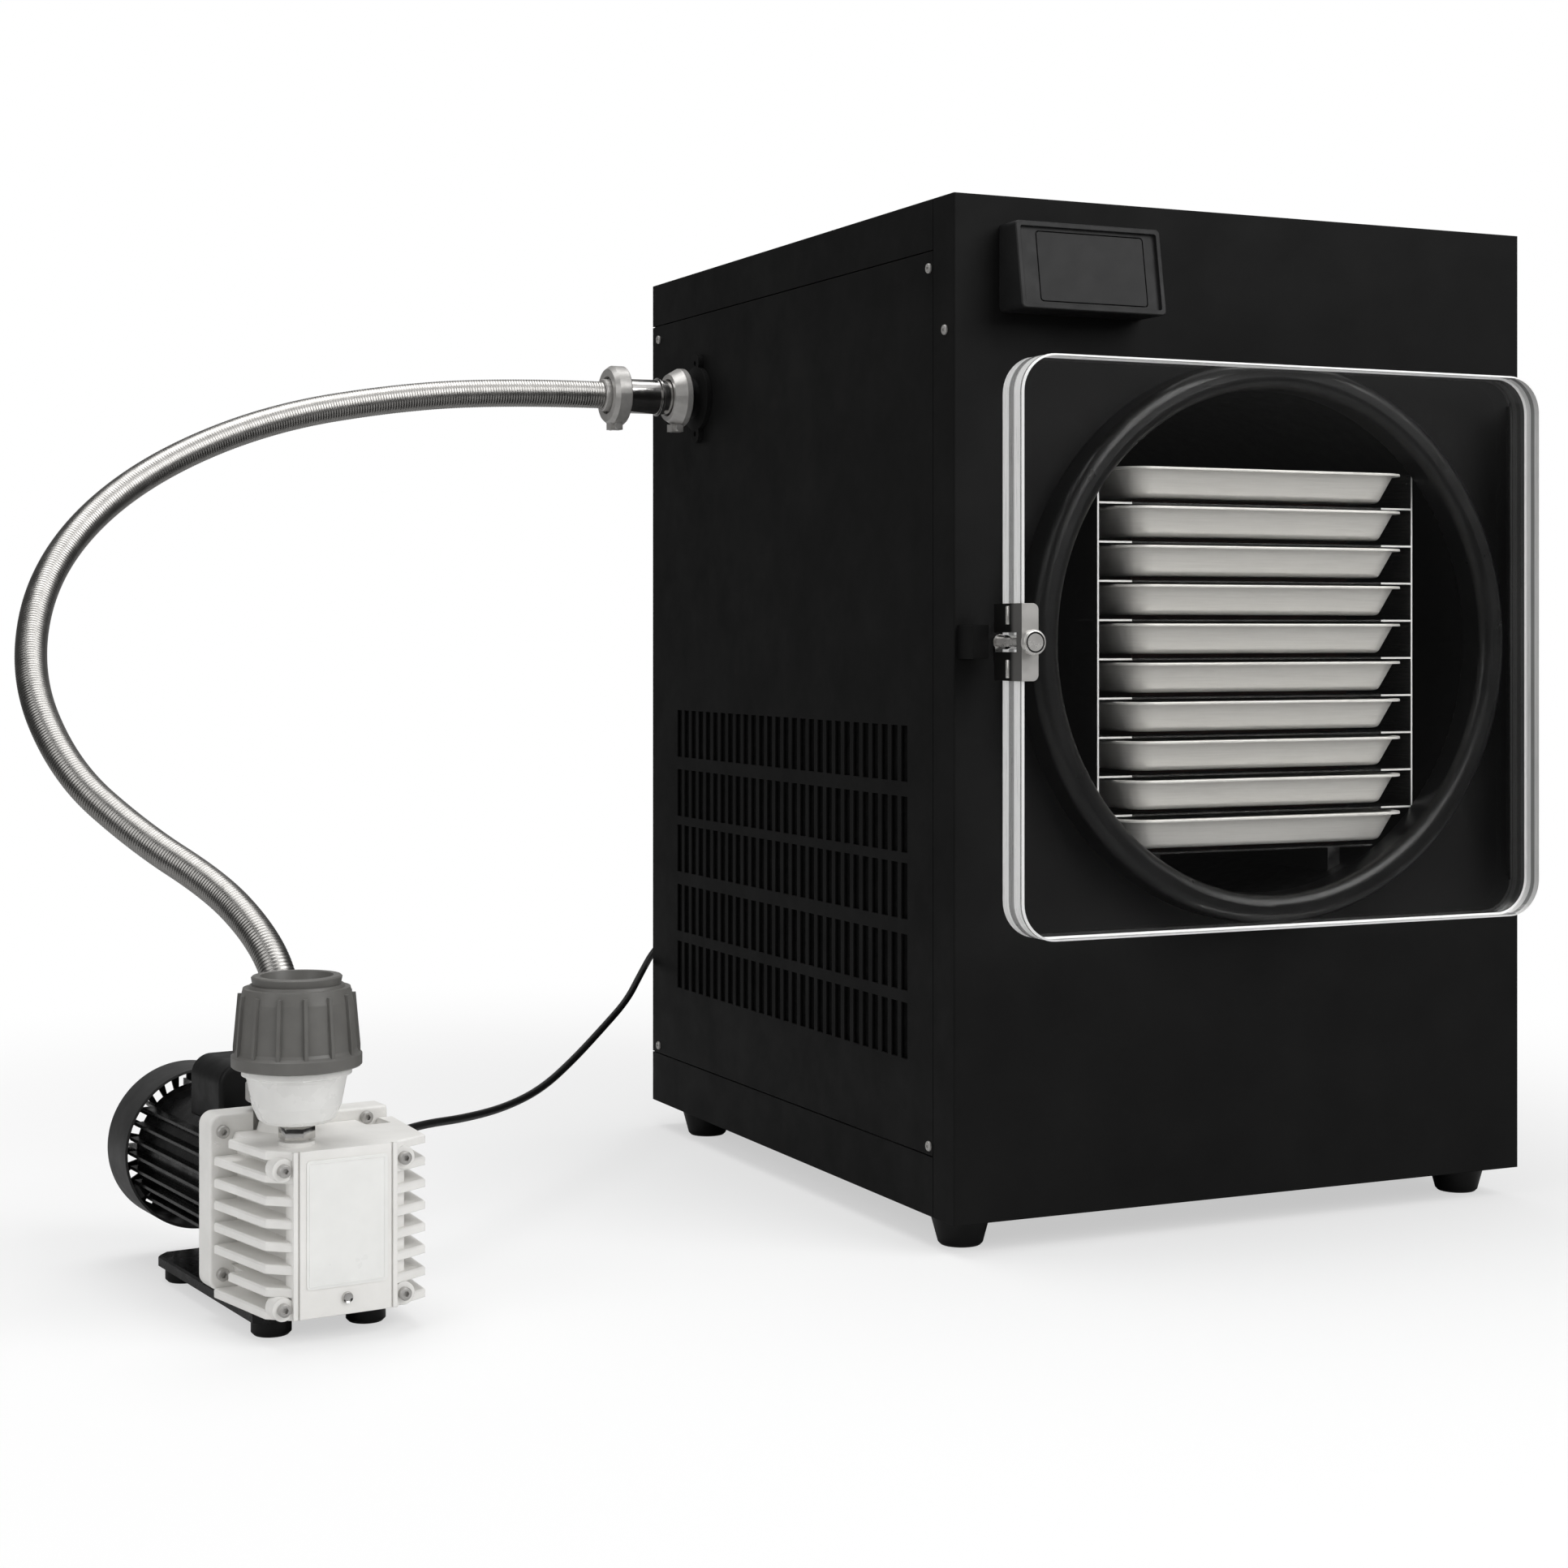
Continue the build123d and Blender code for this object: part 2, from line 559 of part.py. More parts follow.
def tray(i):
    """Pressed pan with sloping sides and a flat turned-out rim."""
    mid = TRAY_LENGTH / 2
    slope = (TRAY_WIDTH / 2 - TRAY_RIM) - TRAY_BASE_WIDTH / 2
    base = RectangleRounded(TRAY_BASE_WIDTH, TRAY_LENGTH - 2 * TRAY_RIM - 2 * slope, TRAY_CORNER - slope / 2)
    mouth = RectangleRounded(TRAY_WIDTH - 2 * TRAY_RIM, TRAY_LENGTH - 2 * TRAY_RIM, TRAY_CORNER)
    outer = loft([base, Pos(0, 0, TRAY_HEIGHT) * mouth])
    outer = fillet(outer.edges().group_by(Axis.Z)[0], TRAY_BASE_CORNER)
    t = TRAY_SHEET
    base_in = RectangleRounded(TRAY_BASE_WIDTH - 2 * t, TRAY_LENGTH - 2 * TRAY_RIM - 2 * slope - 2 * t,
                               TRAY_CORNER - slope / 2 - t)
    mouth_in = RectangleRounded(TRAY_WIDTH - 2 * TRAY_RIM - 2 * t, TRAY_LENGTH - 2 * TRAY_RIM - 2 * t,
                                TRAY_CORNER - t)
    inner = loft([Pos(0, 0, t) * base_in, Pos(0, 0, TRAY_HEIGHT + t) * mouth_in])
    inner = fillet(inner.edges().group_by(Axis.Z)[0], TRAY_BASE_CORNER - t)
    rim = RectangleRounded(TRAY_WIDTH, TRAY_LENGTH, TRAY_CORNER + TRAY_RIM)
    rim = extrude(Pos(0, 0, TRAY_HEIGHT - 2 * t) * rim, amount=2 * t)
    rim = fillet(rim.edges().group_by(Axis.Z)[-1], t * 0.9)
    pan = outer + rim - inner
    return Pos(CHAMBER_X, TRAY_FRONT + mid, tray_floor_z(i)) * pan


def shelf_z(i):
    """Underside of the shelf that carries tray i."""
    return tray_floor_z(i) - FIT - MAT_THICKNESS - RACK_SHEET


def tray_rack():
    """Bright sheet rack: two sides, a back, nine shelves and a narrow bottom shelf on runners."""
    y0, y1 = RACK_FRONT, RACK_FRONT + RACK_LENGTH
    x0, x1 = CHAMBER_X - RACK_HALF_WIDTH, CHAMBER_X + RACK_HALF_WIDTH
    low, high = CHAMBER_Z + RACK_LOW, TOP_RIM_Z + 1
    back = y1 - RACK_SHEET
    inset = RACK_SHEET + FIT
    plates = [block(x0, x0 + RACK_SHEET, y0, back - FIT, low, high),
              block(x1 - RACK_SHEET, x1, y0, back - FIT, low, high),
              block(x0, x1, back, y1, low, high)]
    for i in range(TRAYS - 1):
        z = shelf_z(i)
        plates.append(block(x0 + inset, x1 - inset, y0, back - FIT, z, z + RACK_SHEET))
    bottom = shelf_z(TRAYS - 1)
    left, right = CHAMBER_X - BOTTOM_SHELF_HALF, CHAMBER_X + BOTTOM_SHELF_HALF
    plates.append(block(left, right, y0, back - FIT, bottom, bottom + RACK_SHEET))
    plates.append(block(left, right, back, y1, bottom, low - FIT))
    for side in (-1, 1):
        x = CHAMBER_X + side * RUNNER_X
        plates.append(block(x - RUNNER_WIDTH / 2, x + RUNNER_WIDTH / 2, y0 + 20, back - FIT,
                            CHAMBER_Z - CHAMBER_RADIUS, bottom - FIT))
    bore = about_chamber(Pos(0, 0, y0) * Cylinder(CHAMBER_RADIUS - SEAT, RACK_LENGTH + 1,
                                                  align=(Align.CENTER, Align.CENTER, Align.MIN)))
    return [plate & bore for plate in plates]


def heater_mats():
    """Flat heater mats on the shelves, one under each tray."""
    mats = []
    for i in range(TRAYS):
        top = tray_floor_z(i) - FIT / 2
        z = shelf_z(i) + RACK_SHEET
        half = min(TRAY_BASE_WIDTH / 2, BOTTOM_SHELF_HALF) - MAT_MARGIN / 4
        mats.append(block(CHAMBER_X - half, CHAMBER_X + half, RACK_FRONT + MAT_MARGIN,
                          RACK_FRONT + RACK_LENGTH - MAT_MARGIN, z, top))
    return mats


# ---- display ----------------------------------------------------------------------------
def display_plane():
    """Plane of the tilted front, at its lower left corner: X right, Y up the slope."""
    rise = Vector(0, DISPLAY_BOTTOM_DEPTH - DISPLAY_TOP_DEPTH, DISPLAY_HEIGHT)
    origin = (DISPLAY_LEFT, -DISPLAY_BOTTOM_DEPTH, DISPLAY_BOTTOM)
    right = Vector(1, 0, 0)
    return Plane(origin=origin, x_dir=right, z_dir=right.cross(rise.normalized()))


def display_slope():
    return math.hypot(DISPLAY_BOTTOM_DEPTH - DISPLAY_TOP_DEPTH, DISPLAY_HEIGHT)


def display_bezel():
    """Moulded housing with a raised rim round a recessed face, and a pocket for the screen."""
    side = Polyline((0, DISPLAY_BOTTOM), (-DISPLAY_BOTTOM_DEPTH, DISPLAY_BOTTOM),
                    (-DISPLAY_TOP_DEPTH, DISPLAY_BOTTOM + DISPLAY_HEIGHT),
                    (0, DISPLAY_BOTTOM + DISPLAY_HEIGHT), close=True)
    plane = Plane(origin=(DISPLAY_LEFT, -FIT, 0), x_dir=(0, 1, 0), z_dir=(1, 0, 0))
    box = extrude(plane * make_face(side), amount=DISPLAY_WIDTH)
    box = fillet(box.edges().filter_by(lambda e: abs(e.tangent_at(0.5).X) < 0.1)
                 .filter_by(lambda e: e.length < 80 and abs(e.tangent_at(0.5).Y) > 0.9), DISPLAY_CORNER)
    box = chamfer(box.faces().sort_by(Axis.Y)[0].edges(), 0.8)
    front = display_plane()
    length = display_slope()
    recess = Pos(DISPLAY_WIDTH / 2, length / 2) * RectangleRounded(
        DISPLAY_WIDTH - 2 * DISPLAY_RIM, length - 2 * DISPLAY_RIM, DISPLAY_CORNER / 2)
    box -= extrude(front * Pos(0, 0, 1) * recess, amount=-DISPLAY_RECESS - 1)
    pocket = Pos(DISPLAY_WIDTH / 2 + SCREEN_OFFSET, length / 2) * RectangleRounded(
        SCREEN_WIDTH + 2 * SCREEN_GAP, SCREEN_HEIGHT + 2 * SCREEN_GAP, 3)
    return box - extrude(front * Pos(0, 0, -DISPLAY_RECESS + 1) * pocket, amount=-SCREEN_THICKNESS - 1 - FIT)


def display_screen():
    front = display_plane()
    pane = Pos(DISPLAY_WIDTH / 2 + SCREEN_OFFSET, display_slope() / 2) * RectangleRounded(
        SCREEN_WIDTH, SCREEN_HEIGHT, 2.4)
    return extrude(front * Pos(0, 0, -DISPLAY_RECESS) * pane, amount=-SCREEN_THICKNESS)


# ---- door -------------------------------------------------------------------------------
DOOR_REAR_Y = -GASKET_DEPTH - FIT - SEAT
DOOR_FRONT_Y = DOOR_REAR_Y - DOOR_THICKNESS
DOOR_RIGHT = DOOR_LEFT + DOOR_WIDTH


def door_plate():
    """Thick clear slab with polished chamfered edges and a notch for the latch spindle."""
    face = Pos(DOOR_LEFT + DOOR_WIDTH / 2, DOOR_BOTTOM + DOOR_HEIGHT / 2) * RectangleRounded(
        DOOR_WIDTH, DOOR_HEIGHT, DOOR_CORNER)
    slab = prism_y(face, DOOR_FRONT_Y, DOOR_REAR_Y)
    ends = slab.faces().sort_by(Axis.Y)
    slab = chamfer(ends[0].edges() + ends[-1].edges(), DOOR_CHAMFER)
    slab -= block(DOOR_LEFT - 1, SPINDLE_X, DOOR_FRONT_Y - 1, DOOR_REAR_Y + 1,
                  LATCH_Z - NOTCH_HALF, LATCH_Z + NOTCH_HALF)
    return slab - rod_y(SPINDLE_X, DOOR_FRONT_Y - 1, DOOR_REAR_Y + 1, LATCH_Z, NOTCH_HALF)


def knuckle_spans():
    """Height range of each hinge knuckle, from the bottom; even ones belong to the cabinet."""
    low = CHAMBER_Z - HINGE_HEIGHT / 2
    step = HINGE_HEIGHT / HINGE_KNUCKLES
    return [(low + i * step + KNUCKLE_GAP / 2, low + (i + 1) * step - KNUCKLE_GAP / 2)
            for i in range(HINGE_KNUCKLES)]


def hinge_leaf(plate, web, first):
    """One leaf: a plate, and a web to every second knuckle."""
    leaf = plate
    for low, high in knuckle_spans()[first::2]:
        leaf += rod_z(HINGE_AXIS_X, HINGE_AXIS_Y, low, high, HINGE_KNUCKLE_RADIUS)
        leaf += block(*web, low, high)
    bore = HINGE_PIN_RADIUS + PIN_PLAY
    return leaf - rod_z(HINGE_AXIS_X, HINGE_AXIS_Y, 0, HEIGHT, bore)


def hinge_fixed_leaf():
    low, high = knuckle_spans()[0][0], knuckle_spans()[-1][1]
    y = -FIT
    plate = block(HINGE_AXIS_X - 9, WIDTH - 2, y - HINGE_LEAF, y, low, high)
    web = (HINGE_AXIS_X + 3, HINGE_AXIS_X + 3 + HINGE_LEAF, HINGE_AXIS_Y + 5, y - HINGE_LEAF / 2)
    return hinge_leaf(plate, web, 0)


def hinge_door_leaf():
    low, high = knuckle_spans()[0][0], knuckle_spans()[-1][1]
    y = DOOR_REAR_Y + FIT
    right = HINGE_AXIS_X - 3
    plate = block(DOOR_LEAF_INNER_X, right, y, y + HINGE_LEAF, low, high)
    web = (right - HINGE_LEAF, right, y, HINGE_AXIS_Y - 5)
    return hinge_leaf(plate, web, 1)


def hinge_pin():
    """Full-height pin with a flat head at each end."""
    low, high = knuckle_spans()[0][0], knuckle_spans()[-1][1]
    head = 2.0
    pin = rod_z(HINGE_AXIS_X, HINGE_AXIS_Y, low - FIT, high + FIT, HINGE_PIN_RADIUS)
    pin += rod_z(HINGE_AXIS_X, HINGE_AXIS_Y, low - FIT - head, low - FIT, HINGE_PIN_RADIUS + 1.5)
    return pin + rod_z(HINGE_AXIS_X, HINGE_AXIS_Y, high + FIT, high + FIT + head, HINGE_PIN_RADIUS + 1.5)


# ---- latch ------------------------------------------------------------------------------
CLIP_FRONT_Y = DOOR_FRONT_Y - FIT - CLIP_SHEET


def latch_clip():
    """Folded steel clip over the door's edge: an ear on the face and a side wall."""
    low, high = LATCH_Z - CLIP_HEIGHT / 2, LATCH_Z + CLIP_HEIGHT / 2
    x1 = DOOR_LEFT - FIT
    x0 = x1 - CLIP_SHEET
    wall = block(x0, x1, CLIP_FRONT_Y, DOOR_REAR_Y + CLIP_BEHIND, low, high)
    ear = block(x0, DOOR_LEFT + CLIP_EAR, CLIP_FRONT_Y, CLIP_FRONT_Y + CLIP_SHEET, low, high)
    ear = fillet(ear.edges().filter_by(Axis.Y).group_by(Axis.X)[-1], 5)
    clip = wall + ear
    clip -= block(x0 - 1, x1 + 1, CLIP_FRONT_Y + 8, DOOR_REAR_Y + CLIP_BEHIND + 1,
                  LATCH_Z - CLIP_WINDOW / 2, LATCH_Z + CLIP_WINDOW / 2)
    return clip - rod_y(SPINDLE_X, CLIP_FRONT_Y - 1, 0, LATCH_Z, SPINDLE_RADIUS + PIN_PLAY)


def latch_knob():
    """Polished knob turned in one piece with its collar and spindle."""
    knob_y = CLIP_FRONT_Y - KNOB_STANDOFF
    knob = rod_y(SPINDLE_X, knob_y - KNOB_HEIGHT, knob_y, LATCH_Z, KNOB_RADIUS)
    knob = fillet(knob.edges().group_by(Axis.Y)[0], 1.6)
    knob = fillet(knob.edges().group_by(Axis.Y)[-1], 1.2)
    knob += rod_y(SPINDLE_X, knob_y, CLIP_FRONT_Y - PIN_PLAY, LATCH_Z, COLLAR_RADIUS)
    return knob + rod_y(SPINDLE_X, knob_y, CAM_FRONT_Y + CAM_THICKNESS + 2, LATCH_Z, SPINDLE_RADIUS)


def latch_cam():
    """Flat cam on the spindle's rear end, hanging down when unlatched."""
    y0, y1 = CAM_FRONT_Y, CAM_FRONT_Y + CAM_THICKNESS
    half = CAM_WIDTH / 2
    cam = block(SPINDLE_X - half, SPINDLE_X + half, y0, y1, LATCH_Z - CAM_LENGTH + half, LATCH_Z)
    cam += rod_y(SPINDLE_X, y0, y1, LATCH_Z, half + 1.5)
    cam += rod_y(SPINDLE_X, y0, y1, LATCH_Z - CAM_LENGTH + half, half)
    return cam - rod_y(SPINDLE_X, y0 - 1, y1 + 1, LATCH_Z, SPINDLE_RADIUS + PIN_PLAY)


def latch_keeper():
    """Bent bracket on the front panel whose lip holds the turned cam."""
    low, high = LATCH_Z - KEEPER_HEIGHT / 2, LATCH_Z + KEEPER_HEIGHT / 2
    lip_y = CAM_FRONT_Y - KEEPER_LIP_GAP
    t = KEEPER_SHEET
    keeper = block(KEEPER_LEFT, KEEPER_RIGHT, -FIT - t, -FIT, low, high)
    keeper += block(KEEPER_LEFT, KEEPER_LEFT + t, lip_y - t, -FIT, low, high)
    keeper += block(KEEPER_LEFT, KEEPER_RIGHT, lip_y - t, lip_y, low, high)
    return keeper


# ---- refrigeration and electrics --------------------------------------------------------
PAN_TOP = FOOT_HEIGHT + SHEET


def equipment_deck():
    """Folded deck between the posts with two saddles that carry the chamber's jacket."""
    x0 = 2 * SHEET + 2 * FIT
    x1 = WIDTH - x0
    y0, y1 = 2 * SHEET + 2 * FIT, DEPTH - 2 * SHEET - 2 * FIT
    deck = block(x0, x1, y0, y1, DECK_Z, DECK_Z + SHEET)
    deck += block(x0, x0 + SHEET, y0, y1, DECK_Z - DECK_FLANGE, DECK_Z)
    deck += block(x1 - SHEET, x1, y0, y1, DECK_Z - DECK_FLANGE, DECK_Z)
    for y in SADDLE_Y:
        deck += block(CHAMBER_X - SADDLE_HALF_WIDTH, CHAMBER_X + SADDLE_HALF_WIDTH,
                      y, y + SADDLE_THICKNESS, DECK_Z, DECK_Z + 90)
    return deck - rod_y(CHAMBER_X, -1, DEPTH + 1, CHAMBER_Z, JACKET_OUTER + SEAT)


def compressor():
    """Hermetic compressor: a domed pot on a plate with four rubber feet."""
    r, h = COMPRESSOR_RADIUS, COMPRESSOR_HEIGHT
    z = PAN_TOP + COMPRESSOR_FOOT
    pot = Pos(COMPRESSOR_X, COMPRESSOR_Y, z + COMPRESSOR_PLATE) * Cylinder(
        r, h - COMPRESSOR_PLATE, align=(Align.CENTER, Align.CENTER, Align.MIN))
    pot = fillet(pot.edges().sort_by(Axis.Z)[-1], r * 0.6)
    half = r * 1.1
    plate = block(COMPRESSOR_X - half, COMPRESSOR_X + half, COMPRESSOR_Y - half * 0.8,
                  COMPRESSOR_Y + half * 0.8, z, z + COMPRESSOR_PLATE + SEAT)
    pot += plate + rod_x(COMPRESSOR_X - r - 14, COMPRESSOR_X, COMPRESSOR_Y, z + h * 0.5, 12)
    for sx in (-1, 1):
        for sy in (-1, 1):
            pot += rod_z(COMPRESSOR_X + sx * (half - 10), COMPRESSOR_Y + sy * (half * 0.8 - 10),
                         PAN_TOP, z + SEAT, 8)
    return pot


def condenser_coil():
    """Finned condenser standing on the base pan ahead of the rear slots."""
    x0, x1 = CONDENSER_X - CONDENSER_WIDTH / 2, CONDENSER_X + CONDENSER_WIDTH / 2
    y0, y1 = CONDENSER_Y - CONDENSER_DEPTH / 2, CONDENSER_Y + CONDENSER_DEPTH / 2
    z1 = PAN_TOP + CONDENSER_HEIGHT
    coil = block(x0, x0 + SHEET, y0, y1, PAN_TOP, z1) + block(x1 - SHEET, x1, y0, y1, PAN_TOP, z1)
    step = (x1 - x0) / (CONDENSER_FINS + 1)
    for i in range(CONDENSER_FINS):
        x = x0 + (i + 1) * step
        coil += block(x - 0.5, x + 0.5, y0 + 1, y1 - 1, PAN_TOP + 8, z1 - 2)
    for row in range(5):
        z = PAN_TOP + 22 + row * 27
        coil += rod_x(x0 - 3, x1 + 3, CONDENSER_Y - 10, z, COIL_TUBE / 2)
        coil += rod_x(x0 - 3, x1 + 3, CONDENSER_Y + 10, z, COIL_TUBE / 2)
    return coil


FAN_Z = PAN_TOP + CONDENSER_HEIGHT / 2
SHROUD_REAR = CONDENSER_Y - CONDENSER_DEPTH / 2 - FIT
FAN_Y = SHROUD_REAR - SHROUD_DEPTH / 2


def fan_shroud():
    """Square fan frame with a round throat, and a strut that carries the motor and its shaft."""
    half = CONDENSER_WIDTH / 2
    y0 = SHROUD_REAR - SHROUD_DEPTH
    frame = block(CONDENSER_X - half, CONDENSER_X + half, y0, SHROUD_REAR, PAN_TOP, PAN_TOP + CONDENSER_HEIGHT)
    frame -= rod_y(CONDENSER_X, y0 - 1, SHROUD_REAR + 1, FAN_Z, FAN_RADIUS + 3)
    frame += block(CONDENSER_X - 6, CONDENSER_X + 6, y0, y0 + 4, PAN_TOP, PAN_TOP + CONDENSER_HEIGHT)
    frame += rod_y(CONDENSER_X, y0 - 18, y0 + 6, FAN_Z, FAN_HUB)
    return frame + rod_y(CONDENSER_X, y0, FAN_Y + 8, FAN_Z, 3)


def cooling_fan():
    """Hub with pitched blades, turning on the motor's shaft."""
    hub = rod_y(CONDENSER_X, FAN_Y - 6, FAN_Y + 8, FAN_Z, FAN_HUB)
    for i in range(FAN_BLADES):
        blade = Pos(0, 0, (FAN_HUB + FAN_RADIUS) / 2 - 1) * Rot(0, 0, 30) * Box(
            22, 2, FAN_RADIUS - FAN_HUB + 1)
        hub += Pos(CONDENSER_X, FAN_Y + 1, FAN_Z) * Rot(0, i * 360 / FAN_BLADES, 0) * blade
    throat = rod_y(CONDENSER_X, FAN_Y - 10, FAN_Y + 12, FAN_Z, FAN_RADIUS)
    return (hub & throat) - rod_y(CONDENSER_X, FAN_Y - 10, FAN_Y + 12, FAN_Z, 3 + PIN_PLAY)


def control_box():
    x, y, z = CONTROL_SIZE
    box = block(CONTROL_X, CONTROL_X + x, CONTROL_Y, CONTROL_Y + y, PAN_TOP, PAN_TOP + z)
    return chamfer(box.edges().filter_by(Axis.Z), 2)


OUTLET_Z = SOCKET_Z
INLET_Z = SOCKET_Z + SOCKET_SPACING
SWITCH_Z = SOCKET_Z + 2 * SOCKET_SPACING
POCKET_WALL = 3.0
POCKET_DEPTH = 16.0


def switch_half_size():
    return ROCKER_WIDTH / 2 + SWITCH_FRAME, ROCKER_RADIUS + SWITCH_FRAME


def power_panel():
    """Moulded power entry: the pump's outlet below, the mains inlet, and the switch frame."""
    w, h = SOCKET_SIZE
    sw, sh = switch_half_size()
    back = DEPTH + FIT + 2
    plate = block(SOCKET_X - w / 2 - 5, SOCKET_X + w / 2 + 5, DEPTH + FIT, back,
                  OUTLET_Z - h / 2 - 5, SWITCH_Z + sh + 5)
    plate = fillet(plate.edges().filter_by(Axis.Y), 3)
    for z in (OUTLET_Z, INLET_Z):
        plate += block(SOCKET_X - w / 2, SOCKET_X + w / 2, DEPTH - SOCKET_DEPTH, DEPTH + 1,
                       z - h / 2, z + h / 2)
        plate -= block(SOCKET_X - w / 2 + POCKET_WALL, SOCKET_X + w / 2 - POCKET_WALL,
                       back - POCKET_DEPTH, back + 1, z - h / 2 + POCKET_WALL, z + h / 2 - POCKET_WALL)
    for dx in (-7, 0, 7):
        plate += block(SOCKET_X + dx - 1, SOCKET_X + dx + 1, back - POCKET_DEPTH - 1, back - 3,
                       INLET_Z - 2.5, INLET_Z + 2.5)
    plate += block(SOCKET_X - sw, SOCKET_X + sw, DEPTH - SOCKET_DEPTH, DEPTH + 1, SWITCH_Z - sh, SWITCH_Z + sh)
    well = ROCKER_WIDTH / 2 + SEAT
    plate -= block(SOCKET_X - well, SOCKET_X + well, DEPTH - SOCKET_DEPTH + 2, back + 1,
                   SWITCH_Z - ROCKER_RADIUS - SEAT, SWITCH_Z + ROCKER_RADIUS + SEAT)
    return plate - rod_x(SOCKET_X - well - 2, SOCKET_X + well + 2, DEPTH - 2, SWITCH_Z, ROCKER_PIVOT + PIN_PLAY)


def power_switch():
    """Rocker with a shallow V face, on a pivot that runs across it."""
    half = ROCKER_WIDTH / 2
    rocker = rod_x(SOCKET_X - half, SOCKET_X + half, DEPTH - 2, SWITCH_Z, ROCKER_RADIUS)
    for side in (-1, 1):
        cut = Rot(side * 14, 0, 0) * block(-half - 1, half + 1, 5.5, 12, -12, 12)
        rocker -= Pos(SOCKET_X, DEPTH - 2, SWITCH_Z) * (cut & block(-20, 20, -20, 20, min(0, -side * 20), max(0, -side * 20)))
    return rocker + rod_x(SOCKET_X - half - 1.8, SOCKET_X + half + 1.8, DEPTH - 2, SWITCH_Z, ROCKER_PIVOT)


# ---- vacuum line ------------------------------------------------------------------------
LINE_RADIUS = LINE_BORE / 2 + LINE_WALL
LINE_EXIT_Z = CHAMBER_Z + LINE_EXIT_RISE


def hollow(solid_points, wall):
    """A turned tube: an outline of outer (radius, height) points with a straight bore."""
    bore = solid_points[0][0] - wall
    heights = [p[1] for p in solid_points]
    outline = [(bore, heights[0])] + solid_points + [(bore, heights[-1])]
    return turned(outline)


def vacuum_pipe():
    """Bent steel pipe inside the cabinet, from the side port round to the chamber's head."""
    turn_y = (JACKET_REAR + DEPTH) / 2
    points = [(SHEET + FIT, PORT_Y, PORT_Z), (50, PORT_Y, PORT_Z), (125, turn_y, PORT_Z - 12),
              (215, turn_y, LINE_EXIT_Z + 12), (CHAMBER_X, turn_y, LINE_EXIT_Z),
              (CHAMBER_X, CHAMBER_DEPTH + FIT, LINE_EXIT_Z)]
    path = FilletPolyline(*[Vector(*p) for p in points], radius=LINE_BEND)
    start = Plane(origin=points[0], z_dir=(1, 0, 0))
    return sweep(start * Circle(LINE_RADIUS), path=path) - sweep(start * Circle(LINE_BORE / 2), path=path)


def port_flange():
    """Bulkhead on the side panel: lugged plate, neck and clamping flange, all one turned casting."""
    r, w = LINE_RADIUS, LINE_WALL
    end = -PORT_CLAMP_X - FIT
    neck = hollow([(FLANGE_PLATE_RADIUS, FIT), (FLANGE_PLATE_RADIUS, FLANGE_PLATE), (r + 3, FLANGE_PLATE + 3),
                   (r, FLANGE_PLATE + 6), (r, end - KF_THICKNESS - 2), (KF_RADIUS, end - KF_THICKNESS),
                   (KF_RADIUS, end)], FLANGE_PLATE_RADIUS - r + w)
    for side in (-1, 1):
        lug = Pos(side * FLANGE_LUG, 0, FIT) * Cylinder(9, FLANGE_PLATE - FIT,
                                                        align=(Align.CENTER, Align.CENTER, Align.MIN))
        eye = Pos(side * FLANGE_LUG, 0, 0) * Cylinder(2.6, 3 * FLANGE_PLATE)
        neck = neck + (lug - Cylinder(FLANGE_PLATE_RADIUS - 2, 4 * FLANGE_PLATE)) - eye
    return along_x(neck, 0, PORT_Y, PORT_Z)


def hose_coupling():
    """Short polished tube with a clamping flange at each end."""
    r, k = LINE_RADIUS, KF_RADIUS
    length = PORT_CLAMP_X - HOSE_CLAMP_X - 2 * FIT
    t = KF_THICKNESS
    body = hollow([(k, 0), (k, t), (r, t + 2), (r, 16), (r + 2, 17), (r + 2, 19), (r, 20),
                   (r, length - t - 2), (k, length - t), (k, length)], k - LINE_BORE / 2)
    return along_x(body, PORT_CLAMP_X - FIT, PORT_Y, PORT_Z)


def clamp(flared):
    """Ring clamp about Z that grips two flanges, with a hinged lug below and a screw lug."""
    r, half, k = CLAMP_RADIUS, CLAMP_WIDTH / 2, KF_RADIUS + SEAT
    lip = LINE_RADIUS + 1.5
    g = KF_THICKNESS + SEAT
    top = k + 1.5 if flared else r - 3
    ring = turned([(lip, -half), (r - 1, -half), (r, -half + 1), (r, -half + 6 if flared else half - 4),
                   (top, half), (lip, half), (lip, g + 1.6), (k, g), (k, -g), (lip, -g - 1.6)])
    lug = Pos(0, -r, 0) * Box(11, 9, CLAMP_WIDTH - 4)
    lug += Pos(0, -r - 1, 0) * Rot(0, 90, 0) * Cylinder(3.4, 22)
    return ring + (lug - Cylinder(r - 2, 2 * CLAMP_WIDTH))


def kf_clamps():
    """The three ring clamps: at the port, at the hose, and on the pump's inlet."""
    at_port = along_x(Rot(0, 0, -90) * clamp(True), PORT_CLAMP_X, PORT_Y, PORT_Z)
    at_hose = along_x(Rot(0, 0, -90) * clamp(False), HOSE_CLAMP_X, PORT_Y, PORT_Z)
    at_pump = in_pump(Pos(INLET_U, INLET_V, INLET_PLANE_Z) * Rot(0, 0, 180) * clamp(False))
    return [at_port, at_hose, at_pump]


def hose_fittings():
    """Flanged collars welded to the two ends of the hose."""
    r = HOSE_DIAMETER / 2
    t = KF_THICKNESS
    outline = [(0, FIT), (KF_RADIUS, FIT), (KF_RADIUS, t), (r + 2.5, t + 2), (r + 2.5, t + HOSE_COLLAR - 1),
               (r + 1.5, t + HOSE_COLLAR), (0, t + HOSE_COLLAR)]
    collar = turned(outline)
    at_cabinet = along_x(collar, HOSE_CLAMP_X, PORT_Y, PORT_Z)
    at_pump = in_pump(Pos(INLET_U, INLET_V, INLET_PLANE_Z) * collar)
    return [at_cabinet, at_pump]


